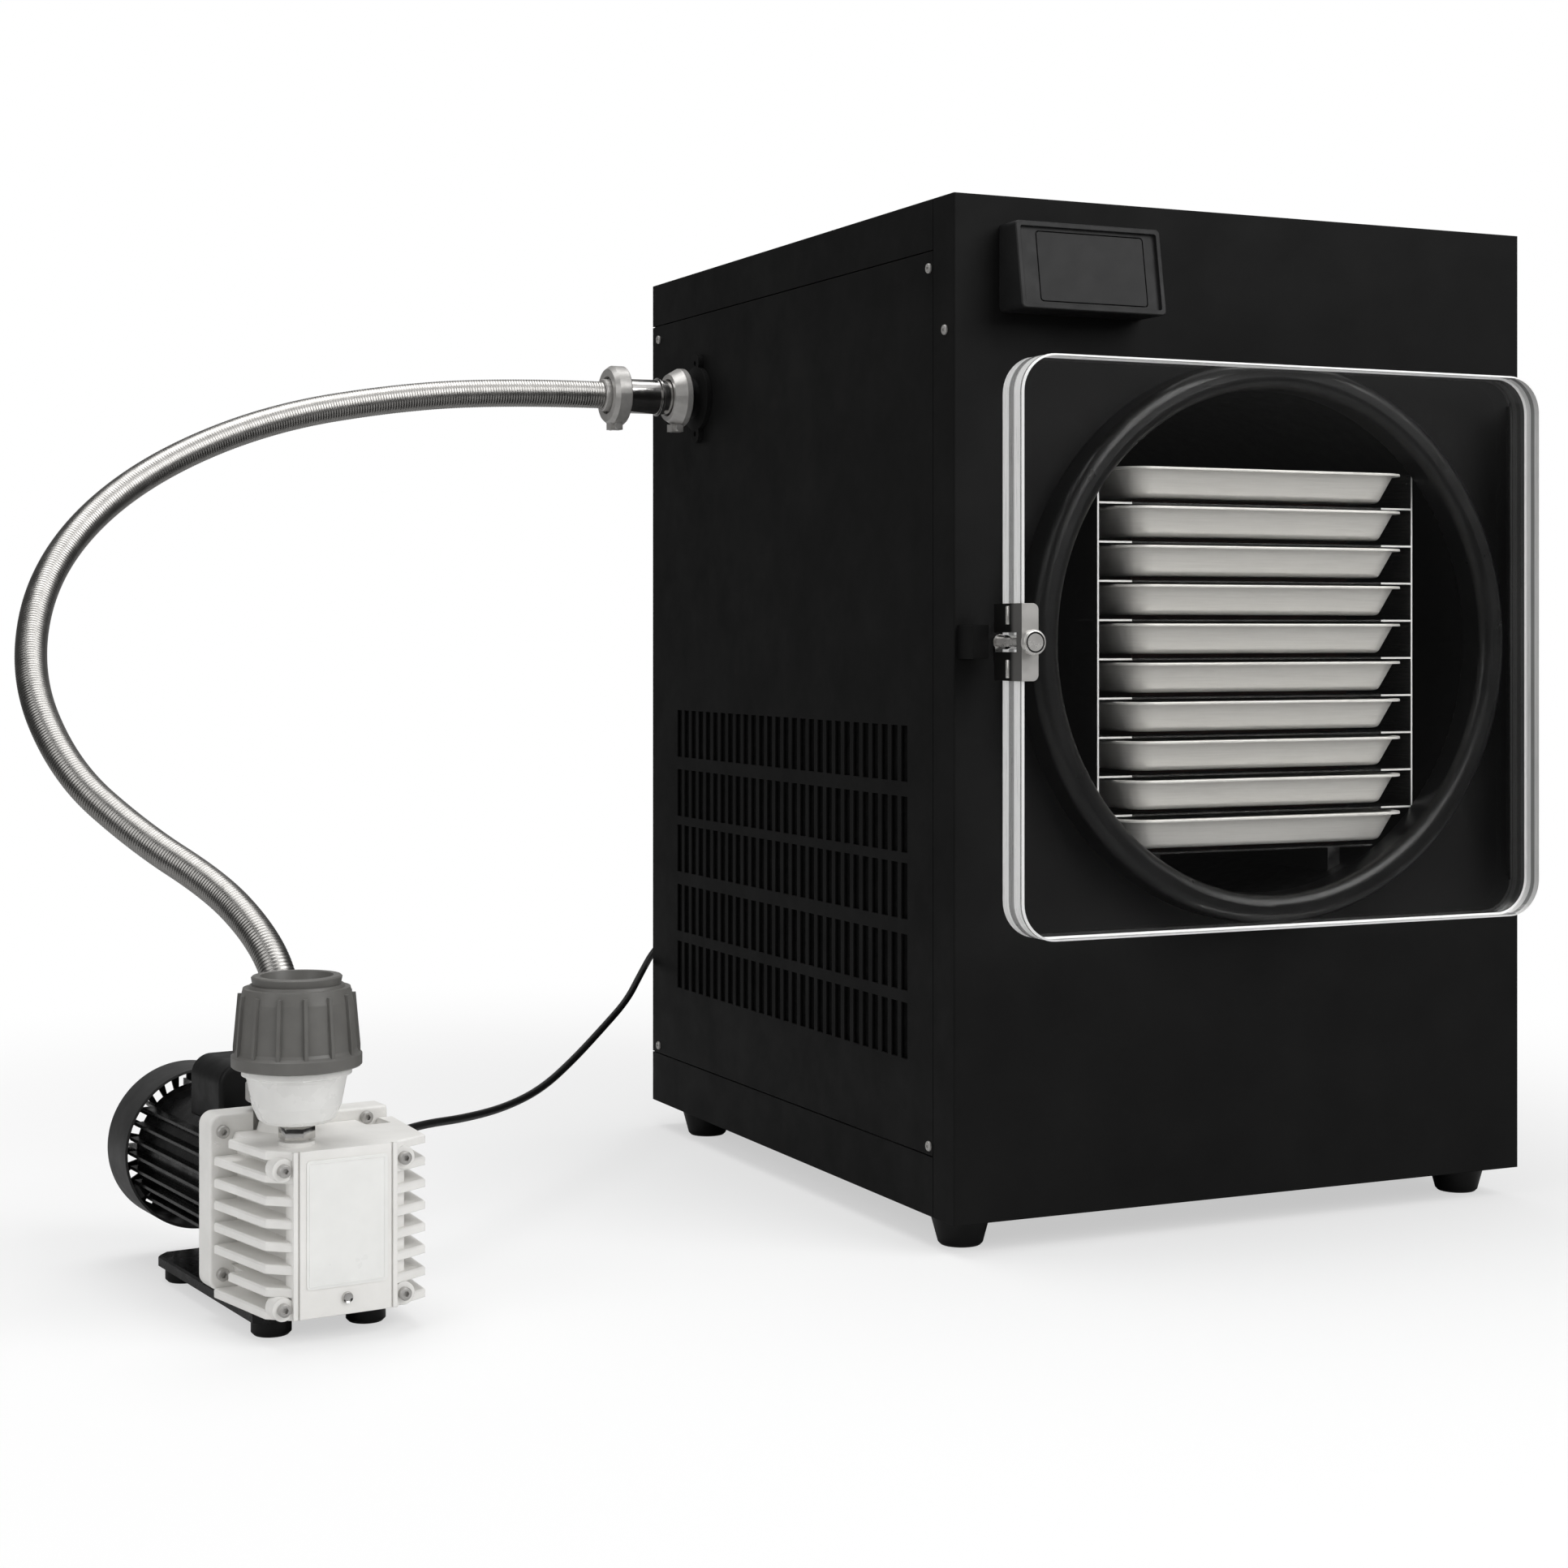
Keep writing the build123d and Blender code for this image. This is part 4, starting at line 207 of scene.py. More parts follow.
def clear_acrylic():
    """Clear cast slab: faces of a high polish; pale chamfers and white stripes along the edges are painted
    highlights, and the other edge bands away from the latch are painted near black as painted shade.
    """
    clear = (0.97, 0.97, 0.965)
    slab = Finish("clear_acrylic", clear, 0.0, Transmission_Weight=1.0, IOR=1.49)
    facing = slab.split(slab.facing)
    flatness = slab.reckon("ABSOLUTE", facing["Y"])
    chamfer = slab.within(flatness, 0.3, 0.95)
    edge = slab.reckon("LESS_THAN", flatness, 0.3)
    latch_side = slab.reckon("LESS_THAN", facing["X"], -0.3)
    hinge_side = slab.reckon("GREATER_THAN", facing["X"], 0.3)

    # Painted highlight stripes along the edge are placed by depth: 0 at the slab's back, 1 at its front.
    depth = slab.spread(slab.split(slab.coordinates)["Y"], 1.0, 0.0, DOOR_FRONT, DOOR_BACK)
    front_highlight_band = slab.both(slab.spread(depth, 0.3, 0.85, 0.56, 0.62), slab.spread(depth, 1.0, 0.3, 0.88, 0.9))
    back_highlight_band = slab.spread(depth, 0.85, 0.0, 0.33, 0.38)
    latch_edge_highlights = slab.both(latch_side, slab.reckon("MAXIMUM", front_highlight_band, back_highlight_band))
    hinge_edge_highlight = slab.both(hinge_side, slab.spread(depth, 0.0, 0.8, 0.72, 0.76))
    back_edge_highlight = slab.spread(depth, 0.85, 0.03, 0.08, 0.12)
    painted_edge_highlights = slab.reckon("MAXIMUM", slab.reckon("MAXIMUM", latch_edge_highlights, hinge_edge_highlight), back_edge_highlight)
    # Painted shade: the edge band between the back stripe and the hinge-side stripe is painted near black, except on
    # the latch side.
    dark = slab.both(slab.both(edge, slab.within(depth, 0.12, 0.72)), slab.reckon("SUBTRACT", 1.0, latch_side))
    slab.links.new(slab.ramp(dark, clear, (0.012, 0.012, 0.012), 0.0, 1.0), slab.shader.inputs["Base Color"])

    saw_marks = slab.spread(slab.noise(1.0, 4, 0.6, slab.stretched((20, 1200, 20))), 0.85, 1.1)
    # Where the painted highlights and painted shade lie, the slab turns opaque and a little rough.
    painted_highlight_and_shade = slab.reckon("ADD", slab.both(chamfer, 0.92), slab.both(edge, slab.both(painted_edge_highlights, saw_marks)))
    painted_highlight_and_shade = slab.reckon("MAXIMUM", painted_highlight_and_shade, slab.both(dark, 0.8))
    slab.links.new(slab.reckon("SUBTRACT", 1.0, painted_highlight_and_shade), slab.shader.inputs["Transmission Weight"])
    slab.links.new(slab.both(painted_highlight_and_shade, 0.35), slab.shader.inputs["Roughness"])
    return slab.material


def brushed_steel(name, low, high, rough, grain, strength=0.1, metallic=1.0):
    """Metal with a grain that runs along the direction in which grain is smallest."""
    steel = Finish(name, low, rough, metallic)
    lines = steel.stretched(grain)
    steel.links.new(steel.ramp(steel.noise(1.0, 4, 0.6, lines), low, high), steel.shader.inputs["Base Color"])
    steel.sheen_change(rough * 0.8, rough * 1.25, 1.0, lines)
    return steel.bump(steel.noise(1.0, 3, 0.6, lines), strength, 0.0002).material


def shade_painted_sheet():
    """Dull sheet painted near black on its faces as painted shade, with its front edges beside the trays painted
    pale as a painted highlight.
    """
    sheet = Finish("rack_sheet", (0.3, 0.3, 0.3), 0.3, 0.8)
    # Painted highlight: faces that look straight front or back, beside the trays, are painted pale; all other faces
    # are painted near black as painted shade.
    painted_lit_front = sheet.reckon("GREATER_THAN", sheet.reckon("ABSOLUTE", sheet.split(sheet.facing)["Y"]), 0.9)
    aside = sheet.reckon("ABSOLUTE", sheet.reckon("SUBTRACT", sheet.split(sheet.coordinates)["X"], CHAMBER_X))
    painted_lit_front = sheet.both(painted_lit_front, sheet.reckon("GREATER_THAN", aside, TRAY_HALF_WIDTH))
    drift = sheet.noise(1.0, 4, 0.6, sheet.stretched((40, 40, 700)))
    tone = sheet.reckon("ADD", sheet.both(painted_lit_front, 0.8), sheet.both(drift, 0.2))
    sheet.links.new(sheet.ramp(tone, (0.03, 0.03, 0.03), (0.85, 0.845, 0.83), 0.0, 1.0),
                    sheet.shader.inputs["Base Color"])
    sheet.links.new(sheet.spread(painted_lit_front, 0.9, 0.3, 0, 1), sheet.shader.inputs["Metallic"])
    sheet.links.new(sheet.spread(painted_lit_front, 0.25, 0.45, 0, 1), sheet.shader.inputs["Roughness"])
    return sheet.bump(drift, 0.08, 0.0002).material


def polished_steel():
    steel = Finish("polished_steel", (0.6, 0.59, 0.575), 0.13, 1.0)
    steel.soft_edges(0.0004)
    steel.mottle((0.55, 0.54, 0.525), (0.66, 0.65, 0.635), 180)
    return steel.sheen_change(0.09, 0.2, 120).bump(steel.noise(420, 4), 0.04, 0.0002).material


def satin_steel(name, low, high, rough, metallic):
    """Fine blasted steel that looks pale from every side."""
    steel = Finish(name, low, sum(rough) / 2, metallic, Specular_IOR_Level=0.4)
    steel.soft_edges(0.0004)
    steel.mottle(low, high, 150)
    return steel.sheen_change(rough[0], rough[1], 110).bump(steel.noise(900, 3), 0.05, 0.0001)


def turned_knob():
    """Polished knob with a near-black ring painted round its face as the painted shade of a turned groove."""
    knob = satin_steel("knob_steel", (0.6, 0.585, 0.565), (0.68, 0.665, 0.645), (0.2, 0.3), 0.6)
    place = knob.split(knob.coordinates)
    across = knob.reckon("SUBTRACT", place["X"], KNOB_X)
    up = knob.reckon("SUBTRACT", place["Z"], LATCH_HEIGHT)
    radius = knob.reckon("SQRT", knob.reckon("ADD", knob.both(across, across), knob.both(up, up)))
    # Painted shade: a near-black ring on the flat knob face stands for the shade inside a turned groove.
    groove = knob.both(knob.within(radius, *KNOB_SHADE_RING), knob.reckon("LESS_THAN", place["Y"], KNOB_FACE))
    shade = knob.reckon("SUBTRACT", knob.spread(knob.noise(60), 0.58, 0.66), groove)
    knob.links.new(knob.ramp(shade, (0.02, 0.02, 0.02), WARM_WHITE, 0.0, 1.0), knob.shader.inputs["Base Color"])
    return knob.material


def folded_clip():
    """Satin front plate, and the wall that wraps the door's edge painted near black as painted shade, a little
    lighter toward the fold as a painted reflection.
    """
    clip = satin_steel("latch_plate", (0.46, 0.45, 0.435), (0.54, 0.53, 0.515), (0.3, 0.42), 0.5)
    wall = clip.reckon("LESS_THAN", clip.split(clip.facing)["X"], -0.5)
    # Painted shade and painted reflection: the wall is near black, lightest toward the fold.
    wall_shade_and_glint = clip.spread(clip.split(clip.coordinates)["Y"], 0.15, 0.01, *CLIP_FOLD)
    plate = clip.spread(clip.noise(60), 0.46, 0.54)
    shade = clip.reckon("ADD", clip.both(wall, wall_shade_and_glint), clip.both(clip.reckon("SUBTRACT", 1.0, wall), plate))
    clip.links.new(clip.ramp(shade, (0.0, 0.0, 0.0), WARM_WHITE, 0.0, 1.0), clip.shader.inputs["Base Color"])
    return clip.material


def moulded_plastic(name, low, high, rough, specular=0.35, grain=1100, relief=0.18):
    """Plastic with a fine moulded texture."""
    plastic = Finish(name, low, sum(rough) / 2, Specular_IOR_Level=specular)
    plastic.soft_edges(0.0006)
    plastic.mottle(low, high, 45)
    plastic.sheen_change(rough[0], rough[1], 60)
    return plastic.bump(plastic.noise(grain, 2), relief, 0.00015).material


def cast_paint():
    paint = Finish("pump_white_paint", (0.8, 0.79, 0.765), 0.42, Specular_IOR_Level=0.4)
    paint.soft_edges(0.001)
    paint.mottle((0.76, 0.75, 0.725), (0.84, 0.83, 0.805), 26)
    paint.sheen_change(0.36, 0.5, 40)
    return paint.bump(paint.noise(520, 3), 0.16, 0.0004).material


def gloss_black():
    paint = Finish("gloss_black_paint", (0.002, 0.002, 0.002), 0.22, Specular_IOR_Level=0.3)
    paint.soft_edges(0.0007)
    paint.mottle((0.0015, 0.0015, 0.0015), (0.003, 0.003, 0.003), 50)
    return paint.sheen_change(0.2, 0.34, 70).bump(paint.noise(300, 3), 0.1, 0.0003).material


def milky_plastic():
    bowl = Finish("milky_plastic", (0.74, 0.735, 0.715), 0.28, Subsurface_Weight=0.35, Subsurface_Scale=0.006,
                  Subsurface_Radius=(1.0, 1.0, 1.0), Specular_IOR_Level=0.45)
    bowl.mottle((0.7, 0.695, 0.675), (0.77, 0.765, 0.745), 30)
    return bowl.sheen_change(0.22, 0.36, 45).bump(bowl.noise(250, 2), 0.05, 0.0003).material


POWDER = powder_coat()
RUBBER = black_rubber()
GASKET = gasket_rubber()
ACRYLIC = clear_acrylic()
TRAY = brushed_steel("tray_steel", (0.68, 0.665, 0.635), (0.76, 0.745, 0.715), 0.36, (30, 30, 900), metallic=0.35)
RACK = shade_painted_sheet()
COIL = brushed_steel("coil_aluminium", (0.5, 0.5, 0.49), (0.62, 0.62, 0.61), 0.3, (40, 40, 700))
# The chamber is near black all over, darker than the cabinet's coat.
CHAMBER = moulded_plastic("chamber_enamel", (0.0025, 0.0025, 0.0025), (0.004, 0.004, 0.004), (0.4, 0.55), 0.12,
                          500, 0.05)
TURNED = brushed_steel("turned_steel", (0.4, 0.4, 0.395), (0.55, 0.55, 0.54), 0.3, (300, 300, 900))
STEEL = polished_steel()
SATIN = satin_steel("satin_steel", (0.42, 0.41, 0.395), (0.5, 0.49, 0.475), (0.3, 0.42), 0.55).material
KNOB = turned_knob()
CLIP = folded_clip()
HOUSING = moulded_plastic("display_housing", (0.011, 0.011, 0.0112), (0.015, 0.015, 0.0152), (0.42, 0.54), 0.2)
SCREEN = moulded_plastic("display_glass", (0.018, 0.018, 0.0182), (0.021, 0.021, 0.0212), (0.3, 0.4), 0.1, 400, 0.02)
BLACK_PLASTIC = moulded_plastic("black_plastic", (0.004, 0.004, 0.004), (0.007, 0.007, 0.007), (0.38, 0.5), 0.25)
COWL = moulded_plastic("cowl_plastic", (0.03, 0.03, 0.03), (0.04, 0.04, 0.04), (0.38, 0.5), 0.25)
GREY = moulded_plastic("grey_lid_plastic", (0.118, 0.115, 0.108), (0.14, 0.137, 0.129), (0.36, 0.48), 0.4, 800)
WHITE = cast_paint()
GLOSS = gloss_black()
MILK = milky_plastic()
FOAM = moulded_plastic("black_cell_foam", (0.006, 0.006, 0.006), (0.012, 0.012, 0.012), (0.85, 0.95), 0.05, 300, 0.6)
MAT = moulded_plastic("heater_silicone", (0.05, 0.016, 0.01), (0.07, 0.024, 0.015), (0.5, 0.65), 0.2, 900)

DRESS = {
    POWDER: "base_frame front_panel left_side_panel right_side_panel top_cover rear_panel equipment_deck "
            "hinge_fixed_leaf hinge_door_leaf fan_shroud port_flange latch_keeper",
    RUBBER: "cabinet_feet pump_feet",
    GASKET: "door_gasket",
    ACRYLIC: "door_plate",
    STEEL: "latch_cam vacuum_pipe hose_coupling hinge_pin",
    SATIN: "panel_screws kf_clamps hose_fittings pump_screws",
    KNOB: "latch_knob",
    CLIP: "latch_clip",
    CHAMBER: "vacuum_chamber",
    TRAY: " ".join(f"tray_{i + 1:02d}" for i in range(10)),
    RACK: "tray_rack",
    COIL: "condenser_coil",
    MAT: "heater_mats",
    FOAM: "insulation_jacket",
    HOUSING: "display_bezel control_box power_panel",
    SCREEN: "display_screen",
    BLACK_PLASTIC: "cooling_fan power_switch pump_plug capacitor_cover",
    COWL: "fan_cowl",
    GLOSS: "compressor motor_housing pump_base",
    TURNED: "motor_rotor",
    WHITE: "oil_case pump_flange",
    MILK: "filter_bowl",
    GREY: "filter_cap",
}
for material, names in DRESS.items():
    for name in names.split():
        mesh = nodes[name].data
        mesh.materials.clear()
        mesh.materials.append(material)

# The clear slab lets the lamps through to the trays.
nodes["door_plate"].visible_shadow = False


# ---- camera -------------------------------------------------------------------------------
CAMERA_PLACE = Vector((-0.9853, -1.8214, 0.4846)) + SHIFT
CAMERA_TURN = math.radians(24.77)               # to the right of straight ahead
CAMERA_LENS, CAMERA_SENSOR = 61.35, 36.0        # millimetres
CAMERA_DROP = -0.0968                           # the picture's shift down, in picture widths

camera = bpy.data.objects.new("camera", bpy.data.cameras.new("camera"))
camera.data.sensor_width = CAMERA_SENSOR
camera.data.lens = CAMERA_LENS
camera.data.shift_y = CAMERA_DROP
camera.data.clip_end = 50.0
camera.location = CAMERA_PLACE
camera.rotation_euler = (math.pi / 2, 0, -CAMERA_TURN)
bpy.context.scene.collection.objects.link(camera)
bpy.context.scene.camera = camera


# ---- hose and lead ------------------------------------------------------------------------
HOSE_DIAMETER = 0.025
HOSE_PITCH = 0.0025
HOSE_RELIEF = 0.00055                           # depth of the groove between two turns
HOSE_SIDES = 28
RINGS_PER_TURN = 3
CABLE_DIAMETER = 0.0065
HOSE_ROUTE = [
    (-0.099, 0.504, 0.705), (-0.175, 0.504, 0.705), (-0.287, 0.503, 0.697), (-0.422, 0.490, 0.6705),
    (-0.542, 0.457, 0.614), (-0.620, 0.401, 0.540), (-0.649, 0.330, 0.454), (-0.630, 0.258, 0.379),
    (-0.585, 0.198, 0.331), (-0.542, 0.136, 0.298), (-0.5233, 0.088, 0.270), (-0.5138, 0.057, 0.241),
    (-0.5131, 0.0461, 0.207), (-0.5131, 0.0461, 0.175),
]
CABLE_ROUTE = [
    (-0.434, 0.138, 0.104), (-0.408, 0.1412, 0.104), (-0.375, 0.167, 0.105), (-0.325, 0.215, 0.098),
    (-0.269, 0.280, 0.092), (-0.214, 0.346, 0.093), (-0.160, 0.415, 0.104), (-0.106, 0.483, 0.120),
    (-0.057, 0.546, 0.135), (-0.018, 0.609, 0.151), (0.015, 0.653, 0.170), (0.047, 0.662, 0.190),
    (0.059, 0.656, 0.215), (0.060, 0.652, 0.238), (0.060, 0.652, 0.260),
]


def link(name, data, material=None):
    piece = bpy.data.objects.new(name, data)
    bpy.context.scene.collection.objects.link(piece)
    if material is not None:
        data.materials.append(material)
    return piece


def route_curve(name, route, steps):
    """A smooth line that the route's points steer, in the row frame."""
    curve = bpy.data.curves.new(name, "CURVE")
    curve.dimensions = "3D"
    curve.resolution_u = steps
    spline = curve.splines.new("NURBS")
    spline.points.add(len(route) - 1)
    for point, place in zip(spline.points, route):
        point.co = (*(Vector(place) + SHIFT), 1)
    spline.order_u = 3
    spline.use_endpoint_u = True
    return curve


def curve_points(curve):
    """The points that the bare curve passes through."""
    line = link(curve.name + "_line", curve)
    mesh = bpy.data.meshes.new_from_object(line)
    points = [v.co.copy() for v in mesh.vertices]
    bpy.data.objects.remove(line)
    bpy.data.meshes.remove(mesh)
    return points


def even_points(points, step):
    """The same line, with its points about a step apart."""
    run = [0.0]
    for first, second in zip(points, points[1:]):
        run.append(run[-1] + (second - first).length)
    count = max(2, round(run[-1] / step))
    even, i = [], 0
    for k in range(count + 1):
        along = run[-1] * k / count
        while i < len(run) - 2 and run[i + 1] < along:
            i += 1
        even.append(points[i].lerp(points[i + 1], (along - run[i]) / max(run[i + 1] - run[i], 1e-9)))
    return even


def ringed_tube(name, points, radius, relief, sides, material):
    """A hose of wound strip: each turn stands proud of the groove beside it."""
    mesh = bpy.data.meshes.new(name)
    verts, faces = [], []
    side = (points[1] - points[0]).orthogonal().normalized()
    count = len(points)
    for k, point in enumerate(points):
        along = (points[min(k + 1, count - 1)] - points[max(k - 1, 0)]).normalized()
        side = (side - along * side.dot(along)).normalized()
        up = along.cross(side)
        size = radius - (relief if k % RINGS_PER_TURN == 0 else 0.0)
        for j in range(sides):
            turn = 2 * math.pi * j / sides
            verts.append(point + side * (size * math.cos(turn)) + up * (size * math.sin(turn)))
    for k in range(count - 1):
        for j in range(sides):
            a, b = k * sides + j, k * sides + (j + 1) % sides
            faces.append((a, b, b + sides, a + sides))
    faces.append(tuple(reversed(range(sides))))
    faces.append(tuple(range((count - 1) * sides, count * sides)))
    mesh.from_pydata([tuple(v) for v in verts], [], faces)
    shape = bmesh.new()
    shape.from_mesh(mesh)
    bmesh.ops.recalc_face_normals(shape, faces=shape.faces)
    shape.to_mesh(mesh)
    shape.free()
    for face in mesh.polygons:
        face.use_smooth = len(face.vertices) == 4
    return link(name, mesh, material)


def hose_steel():
    steel = Finish("hose_steel", (0.4, 0.39, 0.375), 0.34, 1.0)
    steel.mottle((0.36, 0.352, 0.338), (0.44, 0.43, 0.415), 120)
    return steel.sheen_change(0.3, 0.38, 90).bump(steel.noise(900, 2), 0.02, 0.0001).material


def cable_rubber():
    rubber = Finish("cable_rubber", (0.005, 0.005, 0.005), 0.4, Specular_IOR_Level=0.4)
    rubber.mottle((0.004, 0.004, 0.004), (0.008, 0.008, 0.008), 120)
    return rubber.sheen_change(0.34, 0.48, 80).bump(rubber.noise(900, 2), 0.08, 0.0002).material


hose_line = route_curve("hose", HOSE_ROUTE, 60)
hose_points = even_points(curve_points(hose_line), HOSE_PITCH / RINGS_PER_TURN)
bpy.data.curves.remove(hose_line)
hose = ringed_tube("vacuum_hose_rings", hose_points, HOSE_DIAMETER / 2, HOSE_RELIEF, HOSE_SIDES, hose_steel())
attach(hose, "cabinet")
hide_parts("vacuum_hose")

cable_line = route_curve("pump_lead", CABLE_ROUTE, 24)
cable_line.bevel_depth = CABLE_DIAMETER / 2
cable_line.bevel_resolution = 5
cable_line.use_fill_caps = True
lead = link("pump_lead", cable_line, cable_rubber())
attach(lead, "cabinet")
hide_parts("pump_cable")


# ---- small pieces -------------------------------------------------------------------------
def keep(shape, name, material, body="cabinet", smooth=None):
    """Turn a bmesh into a finished piece that rides on a body."""
    bmesh.ops.recalc_face_normals(shape, faces=shape.faces)
    mesh = bpy.data.meshes.new(name)
    shape.to_mesh(mesh)
    shape.free()
    if smooth is not None:
        mesh.shade_smooth()
        mesh.set_sharp_from_angle(angle=math.radians(smooth))
    piece = link(name, mesh, material)
    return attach(piece, body)


def bare_plate():
    """The pump's rating plate, left blank, with a pressed border line."""
    left, right, low, high = -0.0286, 0.0302, 0.0388, 0.1262
    shape = bmesh.new()
    bmesh.ops.create_grid(shape, x_segments=1, y_segments=1, size=0.5)
    bmesh.ops.scale(shape, vec=(right - left, high - low, 1), verts=shape.verts)
    bmesh.ops.rotate(shape, matrix=Matrix.Rotation(math.pi / 2, 3, "X"), verts=shape.verts)
    bmesh.ops.translate(shape, vec=((left + right) / 2, -0.0021, (low + high) / 2), verts=shape.verts)
    bmesh.ops.solidify(shape, geom=shape.faces[:], thickness=-0.0006)
    corners = [e for e in shape.edges if abs((e.verts[0].co - e.verts[1].co).normalized().y) > 0.9]
    bmesh.ops.bevel(shape, geom=corners, offset=0.0025, segments=4, profile=0.5, affect="EDGES", material=-1)
    front = min(shape.faces, key=lambda f: f.calc_center_median().y)
    bmesh.ops.inset_region(shape, faces=[front], thickness=0.0016)
    groove = bmesh.ops.inset_region(shape, faces=[front], thickness=0.0008)["faces"]
    bmesh.ops.inset_region(shape, faces=groove, thickness=0.0001, depth=-0.0004)
    bmesh.ops.transform(shape, matrix=PUMP_PLACE, verts=shape.verts)
    return keep(shape, "blank_rating_plate", PLATE)


def plate_finish():
    plate = Finish("rating_plate_film", (0.83, 0.83, 0.81), 0.32, Specular_IOR_Level=0.45)
    plate.mottle((0.8, 0.8, 0.78), (0.85, 0.85, 0.83), 35)
    return plate.sheen_change(0.26, 0.38, 50).bump(plate.noise(600, 2), 0.04, 0.0002).material


def drain_plug():
    """Round drain plug with a shallow round recess in its face, low on the pump's front plate."""
    shape = bmesh.new()
    bmesh.ops.create_cone(shape, cap_ends=True, segments=32, radius1=0.0042, radius2=0.0036, depth=0.0022)
    top = max(shape.faces, key=lambda f: f.calc_center_median().z)
    bmesh.ops.inset_region(shape, faces=[top], thickness=0.0012)
    bmesh.ops.translate(shape, vec=(0, 0, -0.0007), verts=top.verts[:])
    bmesh.ops.rotate(shape, matrix=Matrix.Rotation(math.pi / 2, 3, "X"), verts=shape.verts)
    bmesh.ops.translate(shape, vec=(0.0008, -0.0029, 0.0305), verts=shape.verts)
    bmesh.ops.transform(shape, matrix=PUMP_PLACE, verts=shape.verts)
    return keep(shape, "drain_plug", STEEL, smooth=30)


def stem_nut():
    """Hexagon nut under the exhaust filter's bowl."""
    shape = bmesh.new()
    bmesh.ops.create_cone(shape, cap_ends=True, segments=6, radius1=0.0128, radius2=0.0128, depth=0.0085)
    bmesh.ops.bevel(shape, geom=shape.edges[:], offset=0.0007, segments=2, profile=0.5, affect="EDGES", material=-1)
    bmesh.ops.translate(shape, vec=(-0.025, 0.025, 0.1418), verts=shape.verts)
    bmesh.ops.transform(shape, matrix=PUMP_PLACE, verts=shape.verts)
    return keep(shape, "filter_stem_nut", STEEL, smooth=30)


def vent_mesh():
    """Fine black woven screen that sits behind the side vents."""
    weave = Finish("vent_screen_mesh", (0.003, 0.003, 0.003), 0.7, Specular_IOR_Level=0.1)
    weave.mottle((0.002, 0.002, 0.002), (0.005, 0.005, 0.005), 90)
    for run in ((30, 2600, 30), (30, 30, 2600)):
        weave.bump(weave.noise(1.0, 1, 0.5, weave.stretched(run)), 0.5, 0.0003)
    return weave.sheen_change(0.62, 0.8, 120).material


def vent_screen(name, panel, inward):
    """A screen with rolled rims just inside a side panel; inward is 1 or -1 along X."""
    inner, outer = sorted(panel + inward * depth for depth in VENT_SCREEN)
    (front, bottom), (rear, top) = VENT_SCREEN_REACH
    low, high = Vector((inner, front, bottom)), Vector((outer, rear, top))
    shape = bmesh.new()
    bmesh.ops.create_cube(shape, size=1)
    bmesh.ops.scale(shape, vec=high - low, verts=shape.verts)
    bmesh.ops.translate(shape, vec=(low + high) / 2 + SHIFT, verts=shape.verts)
    bmesh.ops.bevel(shape, geom=shape.edges[:], offset=0.0006, segments=2, profile=0.5, affect="EDGES", material=-1)
    return keep(shape, name, VENT_MESH)


def clip_knuckles():
    """Two rolled knuckles on the clip's wall, above and below the latch's arm."""
    shape = bmesh.new()
    for rise in (-KNUCKLE_RISE, KNUCKLE_RISE):
        barrel = bmesh.ops.create_cone(shape, cap_ends=True, segments=20, radius1=KNUCKLE_RADIUS,
                                       radius2=KNUCKLE_RADIUS, depth=KNUCKLE_LENGTH)["verts"]
        bmesh.ops.translate(shape, vec=(CLIP_SIDE + KNUCKLE_SINK, KNUCKLE_Y, LATCH_HEIGHT + rise), verts=barrel)
    ends = [e for e in shape.edges if abs(e.verts[0].co.z - e.verts[1].co.z) < 0.0001]
    bmesh.ops.bevel(shape, geom=ends, offset=0.0005, segments=2, profile=0.5, affect="EDGES", material=-1)
    return keep(shape, "latch_clip_knuckles", KNOB, body="door", smooth=35)


PLATE = plate_finish()
VENT_MESH = vent_mesh()
vent_screen("left_vent_screen", 0.0, 1)
vent_screen("right_vent_screen", CABINET_WIDTH, -1)
clip_knuckles()
bare_plate()
drain_plug()
stem_nut()


# ---- floor and light ----------------------------------------------------------------------
def seen_and_mirrored(tree):
    """1 for what is seen straight or through the door, and 1 for what is seen in a gloss."""
    path = tree.nodes.new("ShaderNodeLightPath").outputs
    first = reckon(tree, "LESS_THAN", path["Diffuse Depth"], 0.5)
    straight = reckon(tree, "MAXIMUM", path["Is Camera Ray"], path["Is Transmission Ray"])
    glossy = reckon(tree, "GREATER_THAN", path["Glossy Depth"], 0.5)
    return reckon(tree, "MULTIPLY", straight, first), reckon(tree, "MULTIPLY", glossy, first)


def layered(tree, surface, layers):
    """A shader socket with others laid over it, each with its share."""
    for share, layer in layers:
        mix = tree.nodes.new("ShaderNodeMixShader")
        tree.links.new(share, mix.inputs["Fac"])
        tree.links.new(surface, mix.inputs[1])
        tree.links.new(layer, mix.inputs[2])
        surface = mix.outputs["Shader"]
    return surface


# A white cyclorama stands behind the object, a soft box hangs in front of it, the room is dim.
BACK = (0.419, 0.908, 0.0)
SOFT_BOX = (0.40, -0.52, 0.755)
ROOM_LIGHT, ROOM_GLINT = 0.38, 0.04
GLINTS = ((BACK, 0.3, 0.35), (SOFT_BOX, 0.68, 1.15))    # direction, where it begins, strength

